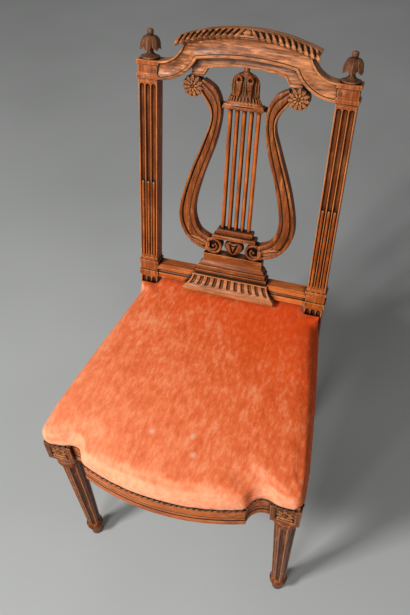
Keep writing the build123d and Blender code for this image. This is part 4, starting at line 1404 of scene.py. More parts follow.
    def heart(self) -> Piece:
        """The heart between the scrolls, upright: a shield with a channel round its raised middle.

        Returns:
            The boss.
        """
        facing = (math.pi / 2, 0, 0)
        bpy.ops.mesh.primitive_uv_sphere_add(segments=64, ring_count=40, radius=1, rotation=facing)
        boss = bpy.context.object
        boss.name = "lyre_heart_carved"
        settle(boss)
        for point in boss.data.vertices:
            x, y, z = point.co
            wide = self.heart_half * (1 - 0.5 * max(0.0, -z) ** 1.4)
            notch = 5.0 * math.exp(-((x / 0.3) ** 2)) * max(0.0, z)
            high = self.heart_rise if z > 0 else self.heart_drop
            aside = abs(x) - 0.3 * (z + 0.7)
            above = z - 0.42
            channel = max(aside, above) if above > -1.1 else 1.0
            fold = 4.6 * math.exp(-((channel / 0.1) ** 2)) if y < 0 else 0.0
            depth = self.heart_depth + (10.5 if y < 0 else 10) * math.copysign(abs(y) ** 0.8, y) + fold
            point.co = Vector((x * wide, depth, self.heart_height + z * high - notch)) * MM
        return boss


@dataclass
class CrestWork:
    """The moulded crest, its gadrooned cap and the finials on the stiles."""

    end_x: float = 150.5
    end_low: float = 876.0
    end_high: float = 907.0
    corner: Place = (82.0, 917.6)
    shoulder: Place = (105.7, 942.7)
    arch: float = 924.6
    top: float = 960.5
    top_radius: float = 323.0
    low_arc: tuple[Place, float] = ((150.5, 952.1), 76.1)
    high_arc: tuple[Place, float] = ((150.5, 953.0), 46.0)
    front: float = 3.0
    rear: float = 30.0
    profile: tuple[Place, ...] = (
        (0.0, 0.0), (0.015, 2.2), (0.04, 2.9), (0.13, 2.9), (0.155, 2.2), (0.165, 0.3), (0.18, 0.3),
        (0.19, 0.7), (0.27, 0.4), (0.33, -0.4), (0.42, -1.5), (0.54, -2.0), (0.66, -1.9), (0.78, -1.2),
        (0.86, -0.4), (0.875, -0.4), (0.885, 1.8), (0.91, 2.7), (0.965, 2.7), (0.99, 2.0), (1.0, 0.0),
    )
    band_low: tuple[Place, ...] = (
        (94, 888), (75, 888), (70.5, 894), (67.5, 900), (65, 902.4), (44, 906.6), (22, 909.4), (0, 910.4),
    )
    band_high: tuple[Place, ...] = (
        (94, 922), (75, 925), (70.5, 926), (67.5, 928), (65, 930), (44, 933), (22, 935), (0, 936),
    )
    band_profile: tuple[Place, ...] = ((0.0, 0.6), (0.02, 1.4), (0.14, 1.4), (0.17, 0.0), (1.0, -0.6))
    band_front: float = 14.0
    cap_turn: float = 0.364
    cap_section: tuple[Place, ...] = (
        (34.0, 0.0), (34.0, 8.0), (32.5, 9.4), (8.5, 9.4), (7.4, 8.8), (7.2, 7.6), (5.2, 7.2), (2.2, 6.0),
        (-0.6, 3.6), (-2.6, 2.6), (-4.0, 1.8), (-4.2, 0.0),
    )
    lobes: int = 11
    finial_x: float = 169.0
    finial_depth: float = 16.0
    finial_low: float = 907.0
    finial_leaves: int = 6
    finial_rings: tuple[Place, ...] = (
        (0, 16.2), (1.0, 17.0), (3.0, 17.0), (4.0, 16.0), (5.0, 12.0), (7.0, 8.5), (9.5, 5.8), (12.5, 5.0),
        (15.0, 5.6), (17.0, 7.4), (19.0, 10.4), (22.0, 12.6), (25.0, 13.4), (29.0, 12.8), (33.0, 10.2),
        (35.5, 7.0), (36.5, 5.0), (37.6, 4.6), (38.6, 5.2), (40.6, 5.6), (44.0, 5.6), (46.0, 5.0),
        (47.0, 3.2),
    )

    def build(self, finishes: Finishes) -> None:
        """Models the crest, its cap and the finials.

        Args:
            finishes: The chair's materials.
        """
        dress(raked(self.crest()), finishes.sunlit, WOOD, "crest_rail")
        dress(raked(self.cap()), finishes.sunlit, WOOD, "crest_gadroon_cap")
        finial = raked(self.finial())
        twin = mirrored(finial, "finial_carved_left")
        dress_pair(finial, twin, finishes.finials, "finial")

    def arc(self, middle: Place, radius: float, start: Place, end: Place, steps: int) -> list[Place]:
        """Places along an arc from one place to another.

        Args:
            middle: The arc's middle.
            radius: Its radius.
            start: Where it starts.
            end: Where it ends.
            steps: How many steps it has.

        Returns:
            The places, without the last.
        """
        a = math.atan2(start[1] - middle[1], start[0] - middle[0])
        b = math.atan2(end[1] - middle[1], end[0] - middle[0])
        return round_line(middle, radius, a, b, steps)[:-1]

    def half_lines(self) -> tuple[list[Place], list[Place]]:
        """The right half of the crest's lower and upper edges, from the end to the middle.

        Returns:
            The lower edge and the upper edge.
        """
        low = self.arc(*self.low_arc, (self.end_x, self.end_low), self.corner, 16)
        high = self.arc(*self.high_arc, (self.end_x, self.end_high), self.shoulder, 16)
        rise = self.arch - self.corner[1]
        radius = (self.corner[0] ** 2 + rise**2) / (2 * rise)
        low += self.arc((0, self.arch - radius), radius, self.corner, (0, self.arch), 16)
        high += self.arc((0, self.top - self.top_radius), self.top_radius, self.shoulder, (0, self.top), 16)
        return [*low, (0.0, self.arch)], [*high, (0.0, self.top)]

    def crest(self) -> Piece:
        """The crest with its moulded face and the plain band behind it, upright.

        Returns:
            The crest rail.
        """
        low, high = (both_sides(line) for line in self.half_lines())
        bar = moulded_bar("crest_bar", low, high, self.profile, self.front, self.rear)
        low, high = both_sides(self.band_low), both_sides(self.band_high)
        band = moulded_bar("crest_band", low, high, self.band_profile, self.band_front, self.rear - 0.4)
        return joined([bar, band], "crest_rail_moulded")

    def cap(self) -> Piece:
        """The arched cap with its slanted lobes and the shell at its middle, upright.

        Returns:
            The cap.
        """
        middle = self.top - self.top_radius
        section = []
        for depth, rise in self.cap_section:
            radius = self.top_radius + rise
            across, up = radius * math.sin(self.cap_turn), radius * math.cos(self.cap_turn)
            section.append((-across, depth, middle + up))
        core = outlined("cap_core", section, fill="NOTHING")
        with editing(core):
            bpy.ops.mesh.spin(steps=48, angle=-2 * self.cap_turn, center=(0, 0, middle * MM), axis=(0, 1, 0))
            bpy.ops.mesh.select_all(action="SELECT")
            bpy.ops.mesh.fill_holes(sides=0)
        tidy(core)
        pieces = [core]
        lobe = self.lobe()
        for step in range(1, self.lobes + 1):
            turn = self.cap_turn * (step + 0.1) / (self.lobes + 0.45)
            swing = at_mm(0, 0, middle) @ Matrix.Rotation(turn, 4, "Y") @ at_mm(0, 0, self.top_radius)
            right = put(copy_of(lobe, f"lobe_{step}"), swing)
            pieces += [right, mirrored(right, f"lobe_left_{step}")]
        discard(lobe)
        pieces.append(put(self.shell(), at_mm(0, 0, self.top)))
        return joined(pieces, "crest_gadroon_carved")

    def lobe(self) -> Piece:
        """One lobe of the gadrooning for the right side, at the crest's middle.

        Returns:
            The lobe.
        """
        half = 8.4
        piece = bead("lobe", (3.9, 4.4, half), 18)
        for point in piece.data.vertices:
            along = point.co.z / (half * MM)
            full = math.sqrt(1 + along**2)
            point.co.x *= full * (1.0 - 0.28 * along)
            point.co.y *= full * (1.0 - 0.3 * along)
            point.co.x += (0.7 * math.sin(2.6 * along) - 7.0 * along) * MM
        return put(piece, at_mm(0, 0.4, 4.4) @ Matrix.Rotation(math.radians(-48), 4, "X"))

    def shell(self) -> Piece:
        """The ribbed half shell at the middle of the cap.

        Returns:
            The shell, standing at the origin.
        """
        ribs = []
        for angle in (-66, -33, 0, 33, 66):
            rib = bead("shell_rib", (2.6, 2.6, 4.6), 10)
            put(rib, Matrix.Rotation(math.radians(angle), 4, "Y") @ at_mm(0, 0, 4.4))
            ribs.append(rib)
        ribs.append(bead("shell_foot", (3.4, 3.2, 3.0), 10))
        shell = joined(ribs, "cap_shell")
        return put(shell, at_mm(0, -1.2, 2.6) @ Matrix.Rotation(math.radians(-42), 4, "X"))

    def finial(self) -> Piece:
        """The right finial: a turned vase with leaves laid over it, upright.

        Returns:
            The finial.
        """
        pieces = [turned("finial_turning", self.finial_rings, 40)]
        pieces += ring_of(self.finial_leaf(), self.finial_leaves, "Z")
        whole = joined(pieces, "finial_carved_right")
        return put(whole, at_mm(self.finial_x, self.finial_depth, self.finial_low))

    def finial_leaf(self) -> Piece:
        """One leaf that falls over the finial's dome, in front of its axis.

        Returns:
            The leaf.
        """
        columns, rows = 8, 14

        def shape(column: int, row: int) -> Point:
            """Where a point of the leaf lies.

            Args:
                column: Its column in the grid.
                row: Its row in the grid.

            Returns:
                The place, in millimetres.
            """
            along, aside = row / rows, 2 * column / columns - 1
            fall = math.radians(16 + 74 * min(1.0, along / 0.72))
            hang = max(0.0, along - 0.72) / 0.28
            height = 21.0 + 15.8 * math.cos(fall) - 6.5 * hang
            half = 0.5 * (1.0 if along < 0.6 else math.sqrt(max(0.0, 1 - ((along - 0.6) / 0.4) ** 2)))
            ridge = 1.9 * (1 - abs(aside)) - 0.5 * abs(math.sin(3 * math.pi * aside))
            radius = 15.2 * math.sin(fall) ** 0.75 + ridge + 1.0 * hang**2
            turn = aside * max(0.03, half)
            return radius * math.sin(turn), -radius * math.cos(turn), height

        leaf = shaped_grid("finial_leaf", columns, rows, shape)
        modify(leaf, "SOLIDIFY", thickness=1.4 * MM, offset=0.0)
        tidy(leaf)
        return leaf


@dataclass
class RearLegs:
    """The rear legs: square and curved below the seat, with fluted stiles and moulded blocks above it."""

    x: float = 169.0
    half: float = 17.0
    front: float = 2.0
    rear: float = 30.0
    flutes: int = 3
    pitch: float = 10.6
    flute_radius: float = 4.2
    flute_runs: tuple[Place, ...] = ((400.0, 483.0), (531.0, 868.0))
    reed_radius: float = 3.1
    reed_sink: float = 1.6
    reed_top: float = 690.0
    columns: int = 68
    row_runs: tuple[tuple[float, int], ...] = (
        (425.6, 4), (474.0, 12), (484.0, 2), (530.0, 10), (537.0, 6), (684.0, 10), (692.0, 6), (861.0, 12),
        (869.0, 2),
    )
    top: float = 907.0
    base_levels: tuple[Place, ...] = (
        (487.0, 2.4), (487.8, 3.0), (497.2, 3.0), (498.0, 2.4), (498.2, -1.2), (499.4, -1.2), (499.6, 1.0),
        (513.2, 1.0), (513.4, -1.2), (514.4, -1.2), (514.6, 2.4), (515.4, 3.0), (520.0, 3.0), (520.8, 2.4),
        (521.0, -1.0), (522.0, -1.0), (522.2, 0.9), (526.2, 0.9), (527.0, 0.4),
    )
    cap_levels: tuple[Place, ...] = (
        (872.0, 0.3), (872.6, 0.7), (875.0, 0.7), (875.2, -1.0), (876.0, -1.0), (876.2, 2.4), (877.0, 3.0),
        (882.0, 3.0), (882.8, 2.4), (883.0, 1.4), (885.4, 0.6), (885.6, -1.2), (886.6, -1.2), (886.8, 0.6),
        (898.0, 0.6), (898.2, -1.2), (899.4, -1.2), (899.6, 2.4), (900.4, 3.0), (906.2, 3.0), (907.0, 2.4),
    )
    peg_x: float = 156.5
    peg_radius: float = 2.5
    peg_places: tuple[Place, ...] = ((500.5, 1.15), (891.5, 1.35))
    leg_front: float = 124.8
    leg_depth: float = 38.0
    kick: float = 34.0
    rear_kick: Place = (1.0, 22.0)
    rail_low: float = 354.0
    seat_high: float = 412.0
    bend_high: float = 464.0
    bend: float = 4.3
    tuck: float = 9.0
    curve_steps: int = 16
    bend_steps: int = 5

    def build(self, finishes: Finishes) -> None:
        """Models the right leg and its twin.

        Args:
            finishes: The chair's materials.
        """
        stile = [self.shaft()]
        for name, members in (("stile_base", self.base_levels), ("stile_cap", self.cap_levels)):
            stile.append(self.block(name, members))
        leg = joined([raked(joined(stile, "stile")), self.lower_leg()], "rear_leg_carved_right")
        put(leg, at_mm(self.x, 0, 0))
        twin = mirrored(leg, "rear_leg_carved_left")
        dress_pair(leg, twin, finishes.stiles, "rear_leg", CRISP)
        dress(self.pegs(), finishes.finials, WOOD, "joint_pegs")

    def pegs(self) -> Piece:
        """The four pegs through the back's tenons, cut off just proud of the blocks.

        Returns:
            The pegs, joined and raked.
        """
        pegs = []
        for height, proud in self.peg_places:
            peg = turned("peg", ((0, self.peg_radius), (self.rear - proud, self.peg_radius)), 12)
            right = put(peg, at_mm(self.peg_x, self.rear, height) @ FACING)
            pegs += [right, mirrored(right, "peg_left")]
        return raked(joined(pegs, "joint_pegs_trimmed"))

    def block(self, name: str, members: Sequence[Place]) -> Piece:
        """A moulded block on the stile, upright.

        Args:
            name: The piece's name.
            members: Height of each level, and how far it stands out from the stile.

        Returns:
            The block.
        """
        levels = []
        for height, grow in members:
            deep = grow * self.front / 3.0
            levels.append((height, self.half + grow, self.front - deep, self.rear + deep))
        return stack(name, levels, ease=0.4)

    def shaft(self) -> Piece:
        """The stile between its blocks, upright: flutes that end round, with a reed low down in each.

        Returns:
            The shaft.
        """
        heights = []
        ends = [height for height, _ in self.row_runs[1:]] + [self.top]
        for (low, steps), high in zip(self.row_runs, ends):
            heights += [low + (high - low) * i / steps for i in range(steps)]
        heights.append(self.top)

        def shape(column: int, row: int) -> Point:
            """Where a point of the fluted face lies.

            Args:
                column: Its column in the grid.
                row: Its row in the grid.

            Returns:
                The place, in millimetres.
            """
            x = (2 * column / self.columns - 1) * self.half
            return x, self.face_depth(x, heights[row]), heights[row]

        return relief("stile_shaft", self.columns, len(heights) - 1, shape, self.rear)

    def face_depth(self, x: float, height: float) -> float:
        """Depth of the stile's carved face.

        Args:
            x: Place across, from the stile's middle.
            height: Along the rake.

        Returns:
            The depth behind the front of the blocks.
        """
        most = (self.flutes - 1) / 2
        aside = abs(x - max(-most, min(most, round(x / self.pitch))) * self.pitch)
        depth = self.front
        for low, high in self.flute_runs:
            reach = self.round_end(self.flute_radius, min(height - low, high - height))
            if aside < reach:
                depth = self.front + math.sqrt(reach**2 - aside**2)
        reach = self.round_end(self.reed_radius, self.reed_top - height)
        if aside < reach and height > self.base_levels[-1][0]:
            depth = min(depth, self.front + self.reed_sink - math.sqrt(reach**2 - aside**2))
        return depth

    def round_end(self, radius: float, left: float) -> float:
        """Half width of a round-ended strip.

        Args:
            radius: Its half width away from its end.
            left: How much of its length is left.

        Returns:
            Its half width there.
        """
        if left >= radius:
            return radius
        return math.sqrt(max(0.0, radius**2 - (radius - left) ** 2)) if left > 0 else 0.0

    def lower_leg(self) -> Piece:
        """The square leg that curves back to the floor, with its top inside the stile.

        Returns:
            The lower leg.
        """
        rear = self.leg_front + self.leg_depth
        levels = []
        for step in range(self.curve_steps + 1):
            fall = 1 - step / self.curve_steps
            behind = self.rear_kick[0] * fall**2 + self.rear_kick[1] * fall**3
            front = self.leg_front + self.kick * fall**2
            levels.append((self.rail_low * (1 - fall), self.half, front, rear + behind))
        levels.append((self.seat_high, self.half, self.leg_front, rear))
        for step in range(1, self.bend_steps + 1):
            share = step / self.bend_steps
            height = self.seat_high + (self.bend_high - self.seat_high) * share
            inside = self.leg_front + (height - self.seat_high) * math.tan(RAKE) + self.tuck
            levels.append((height, self.half - 0.2, inside, rear + self.bend * share**2))
        return stack("rear_leg_square", levels, ease=0.8)


@dataclass
class VelvetSeat:
    """The stuffed velvet seat, its row of nails, and the webbing and hessian that carry it."""

    edge: float = 402.0
    nailed_strip: float = 9.0
    sole: float = 3.0
    sole_snap: float = 2.4
    soft_run: float = 40.0
    soft_least: float = 0.15
    block_inner: float = 180.5
    block_outer: float = 231.5
    block_front: float = -241.9
    block_rear: float = -190.9
    block_curve: tuple[Place, ...] = ((2, -236.6), (8, -240.6), (16, -241.9))
    bow_middle: float = 136.6
    bow_radius: float = 425.0
    scoop: Place = (173.0, -262.4)
    scoop_radius: float = 28.0
    rear_x: float = 188.0
    leg_front_y: float = 124.8
    back_y: float = 163.0
    swell: float = 2.5
    notch_x: float = 150.0
    corner: float = 17.0
    crown_top: float = 459.0
    crown_y: float = -26.4
    crown_radius: float = 1700.0
    rear_crown_radius: float = 8000.0
    crown_flat: float = 18.0
    profile: tuple[Place, ...] = (
        (0, 0), (7, -1.0), (14, -1.5), (24, -0.7), (33, 2.0), (39.5, 5.4), (45, 10.0), (53, 18.0),
        (62, 29.0),
    )
    back_roll: float = 0.2
    left_bulge: float = 5.0
    bulge_high: float = 42.0
    bulge_run: float = 200.0
    bulge_from: float = -200.0
    notch_rise: float = 12.0
    voxel: float = 5.0
    pressure: float = 3.0
    frames: int = 20
    most_move: float = 3.0
    cloth: float = 2.2
    nail_pitch: float = 9.8
    nail_radius: float = 2.8
    nail_rise: float = 3.0
    webs_deep: int = 5
    webs_across: int = 4
    web_width: float = 50.0
    web_gap: float = 12.0
    web_thickness: float = 1.3
    web_front: float = -222.0
    web_length: float = 378.0
    web_inset: float = 9.0
    web_lift: float = 1.5
    web_wave: float = 0.8
    web_ramp: float = 8.0
    hessian_inset: float = 8.0
    hessian_lift: float = 3.9
    hessian_thickness: float = 0.8
    rail_top: float = 412.0

    def build(self, finishes: Finishes) -> None:
        """Models the velvet, the nails and what lies under them.

        Args:
            finishes: The chair's materials.
        """
        velvet = self.velvet()
        dress(velvet, finishes.velvet, "orange_velvet", "seat_cover", "seat_pad", angle=180.0)
        dress(self.nails(), finishes.nails, WOOD)
        for way in Web:
            dress(self.webs(way), finishes.webbing, "jute_webbing", f"seat_webbing_{way.value}")
        self.build_hessian(finishes)

    def scoop_start(self) -> Place:
        """Where the bow ends and the right scoop begins.

        Returns:
            The place in plan, in millimetres.
        """
        span = math.hypot(self.scoop[0], self.bow_middle - self.scoop[1])
        along = (self.bow_radius**2 - self.scoop_radius**2 + span**2) / (2 * span)
        aside = math.sqrt(self.bow_radius**2 - along**2)
        ux, uy = self.scoop[0] / span, (self.scoop[1] - self.bow_middle) / span
        return along * ux + aside * uy, self.bow_middle + along * uy - aside * ux

    def front_half(self) -> list[Place]:
        """The right half of the seat's front in plan, from its middle to the front block's side.

        Returns:
            The places along it, in millimetres.
        """
        start = self.scoop_start()
        end = math.asin(start[0] / self.bow_radius)
        line = []
        steps = 24
        for i in range(steps):
            turn = end * i / steps
            y = self.bow_middle - self.bow_radius * math.cos(turn)
            line.append((self.bow_radius * math.sin(turn), y))
        first = math.atan2(start[1] - self.scoop[1], start[0] - self.scoop[0]) % (2 * math.pi)
        line += round_line(self.scoop, self.scoop_radius, first, math.pi / 2, 10)
        line += [(self.block_inner + aside, y) for aside, y in self.block_curve]
        middle = (self.block_outer - self.corner, self.block_front + self.corner)
        line += round_line(middle, self.corner, -math.pi / 2, 0.0, 6)
        return line

    def outline(self) -> list[Place]:
        """The whole seat in plan, once round from the front's middle to the right.

        Returns:
            The places round it, in millimetres.
        """
        line = self.front_half()
        steps = 26
        for i in range(1, steps + 1):
            share = i / steps
            y = self.block_rear + (self.leg_front_y - self.block_rear) * share
            bow = self.swell * 4 * share * (1 - share)
            line.append((self.block_outer + (self.rear_x - self.block_outer) * share + bow, y))
        line += [(x, self.leg_front_y + 0.2) for x in (180, 170, 160, self.notch_x + 3)]
        line += [(self.notch_x, y) for y in (self.leg_front_y + 4, 140, 152)]
        line.append((self.notch_x - 4, self.back_y - 1))
        line += [(x, self.back_y) for x in (130, 100, 70, 40, 12)]
        return line + [(-x, y) for x, y in reversed(line[1:])]

    def dome(self, x: float, y: float) -> float:
        """The crown's height over a place.

        Args:
            x: Place across, in millimetres.
            y: Place in depth, in millimetres.

        Returns:
            The height, in millimetres.
        """
        apart = max(0.0, math.hypot(x, y - self.crown_y) - self.crown_flat)
        back = min(1.0, max(0.0, (y - self.crown_y) / (self.back_y - self.crown_y)))
        radius = self.crown_radius + (self.rear_crown_radius - self.crown_radius) * back
        return self.crown_top + 0.6 - apart**2 / (2 * radius)

    def velvet(self) -> Piece:
        """The stuffed velvet: an outline extruded by its profile, remeshed, swollen and made a skin.

        Returns:
            The velvet skin.
        """
        line = self.outline()
        normals = []
        for i in range(len(line)):
            run = Vector(line[(i + 1) % len(line)]) - Vector(line[i - 1])
            normals.append(Vector((-run.y, run.x)).normalized())
        seat = outlined("seat_velvet", [(*spot, self.edge) for spot in line])
        with editing(seat):
            bpy.ops.mesh.select_mode(type="FACE")
        for (low, _), (rise, inset) in zip(self.profile, self.profile[1:]):
            with editing(seat, everything=False):
                pull(0, 0, rise - low)
            top = [point for point in seat.data.vertices if point.select]
            for point, spot, normal in zip(top, line, normals):
                roll = self.back_roll if spot[1] > self.leg_front_y - 1 else 1.0
                bulge = self.left_bulge * math.sin(math.pi * min(1.0, rise / self.bulge_high))
                near = max(0.0, min(1.0, -spot[1] / self.bulge_run)) * (spot[0] < self.bulge_from)
                place = Vector(spot) + normal * (inset - bulge * near) * roll
                if abs(spot[0]) > self.notch_x - 1 and spot[1] > self.leg_front_y - 1:
                    lean = max(0.0, rise - self.notch_rise) * math.tan(RAKE)
                    place = Vector((spot[0], max(spot[1], self.leg_front_y + lean)))
                point.co = Vector((place.x, place.y, self.edge + rise)) * MM
        tidy(seat)
        modify(seat, "REMESH", mode="VOXEL", voxel_size=self.voxel * MM)
        for point in seat.data.vertices:
            x, y, z = point.co / MM
            point.co.z = min(z, self.dome(x, y)) * MM
        soft = seat.vertex_groups.new(name="soft")
        for point in seat.data.vertices:
            x, y, _ = point.co / MM
            limit = self.leg_front_y if abs(x) > self.notch_x - 12 else self.back_y
            soft.add([point.index], min(1.0, max(self.soft_least, (limit - y) / self.soft_run)), "REPLACE")
        modify(seat, "SMOOTH", factor=0.5, iterations=6, vertex_group="soft")
        self.swell_cloth(seat)
        modify(seat, "SMOOTH", factor=0.5, iterations=4, vertex_group="soft")
        self.open_below(seat)
        return seat

    def swell_cloth(self, seat: Piece) -> None:
        """Swells the stuffed seat as cloth under pressure, with its lower edge held.

        Args:
            seat: The remeshed seat.
        """
        start = [point.co.copy() for point in seat.data.vertices]
        held = seat.vertex_groups.new(name="nailed_edge")
        strip_top = (self.edge + self.nailed_strip) * MM
        held.add([point.index for point in seat.data.vertices if point.co.z < strip_top], 1.0, "REPLACE")
        cloth = seat.modifiers.new("Cloth", "CLOTH")
        cloth.settings.vertex_group_mass = "nailed_edge"
        cloth.settings.use_pressure = True
        cloth.settings.uniform_pressure_force = self.pressure
        cloth.settings.effector_weights.gravity = 0.0
        cloth.settings.quality = 6
        cloth.settings.tension_stiffness = 25
        cloth.settings.compression_stiffness = 25
        cloth.settings.bending_stiffness = 2.0
        cloth.point_cache.frame_start = 1
        cloth.point_cache.frame_end = self.frames
        scene = bpy.context.scene
        for step in range(1, self.frames + 1):
            scene.frame_set(step)
        activate(seat)
        bpy.ops.object.modifier_apply(modifier=cloth.name)
        scene.frame_set(1)
        for point, place in zip(seat.data.vertices, start):
            move = point.co - place
            if move.length > self.most_move * MM:
                point.co = place + move.normalized() * self.most_move * MM

    def open_below(self, seat: Piece) -> None:
        """Takes the seat's underside away and gives the skin its thickness.

        Args:
            seat: The swollen seat.
        """
        limit = (self.edge + self.sole) * MM
        pick_faces(seat, lambda face: face.center.z < limit and face.normal.z < -0.4)
        with editing(seat, everything=False):
            bpy.ops.mesh.delete(type="FACE")
        for point in seat.data.vertices:
            if point.co.z < (self.edge + self.sole_snap) * MM:
                point.co.z = self.edge * MM
        modify(seat, "SUBSURF", levels=1, render_levels=1)
        modify(seat, "SOLIDIFY", thickness=self.cloth * MM, offset=-1.0)

    def nails(self) -> Piece:
        """The close row of nails along the velvet's lower edge, across the front.

        Returns:
            The nails, joined.
        """
        half = self.front_half()
        dome = ((-1.2, 0.9), (0.3, 1.0), (1.1, 0.8), (1.6, 0.35))
        nail = turned("nail", [(rise, share * self.nail_radius) for rise, share in dome], 8)
        nails = []
        left_over = self.nail_pitch / 2
        for a, b in zip(half, half[1:]):
            run = Vector(b) - Vector(a)
            out = Vector((run.y, -run.x, 0)).normalized()
            turn = out.to_track_quat("Z", "Y").to_matrix().to_4x4()
            while left_over < run.length:
                spot = Vector(a) + run * (left_over / run.length) + out.to_2d() * 1.0
                place = at_mm(spot.x, spot.y, self.edge + self.nail_rise) @ turn
                nails.append(put(copy_of(nail, "nail"), place))
                left_over += self.nail_pitch
            left_over -= run.length
        discard(nail)
        right = joined(nails, "nails_right")
        return joined([right, mirrored(right, "nails_left")], "seat_nails")

    def webs(self, way: Web) -> Piece:
        """The webbing that runs one way, each strip passing over and under those of the other way.

        Args:
            way: The way that it runs.

        Returns:
            The strips, joined.
        """
        lengthwise = way is Web.LENGTHWISE
        count = self.webs_deep if lengthwise else self.webs_across
        pitch = self.web_width + self.web_gap
        first = self.block_rear + self.web_gap + self.web_width / 2
        slope = (self.block_outer - self.rear_x) / (self.leg_front_y - self.block_rear)
        columns, rows = 4, 60

        def shape(step: int, column: int, row: int) -> Point:
            """Where a point of one strip lies.

            Args:
                step: The strip's number, from nothing.
                column: Its column in the grid.
                row: Its row in the grid.

            Returns:
                The place, in millimetres.
            """
            along, aside = row / rows, column / columns - 0.5
            if lengthwise:
                x = (step - (count - 1) / 2) * pitch + aside * self.web_width
                y = self.web_front + self.web_length * along
                phase = (y - first) / pitch * math.pi + step * math.pi
            else:
                y = first + step * pitch + aside * self.web_width
                half = self.block_outer - self.web_inset - slope * (y - self.block_rear)
                x = (2 * along - 1) * half
                phase = x / pitch * math.pi + (step + 1) * math.pi
            held = min(1.0, min(along, 1 - along) * self.web_ramp)
            return x, y, self.rail_top + self.web_lift + self.web_wave * held * math.cos(phase)

        strips = [shaped_grid("web_strip", columns, rows, partial(shape, step)) for step in range(count)]
        piece = joined(strips, f"webbing_{way.value}")
        modify(piece, "SOLIDIFY", thickness=self.web_thickness * MM, offset=0.0)
        return piece

    def build_hessian(self, finishes: Finishes) -> None:
        """Lays the hessian sheet over the webbing.

        Args:
            finishes: The chair's materials.
        """
        points = []
        for x, y in self.outline():
            share = 1 - self.hessian_inset / max(60.0, math.hypot(x, y - self.crown_y))
            height = self.rail_top + self.hessian_lift
            points.append((x * share, self.crown_y + (y - self.crown_y) * share, height))
        sheet = outlined("hessian_sheet", points)
        modify(sheet, "SOLIDIFY", thickness=self.hessian_thickness * MM, offset=0.0)
        dress(sheet, finishes.hessian, "hessian", "seat_hessian")


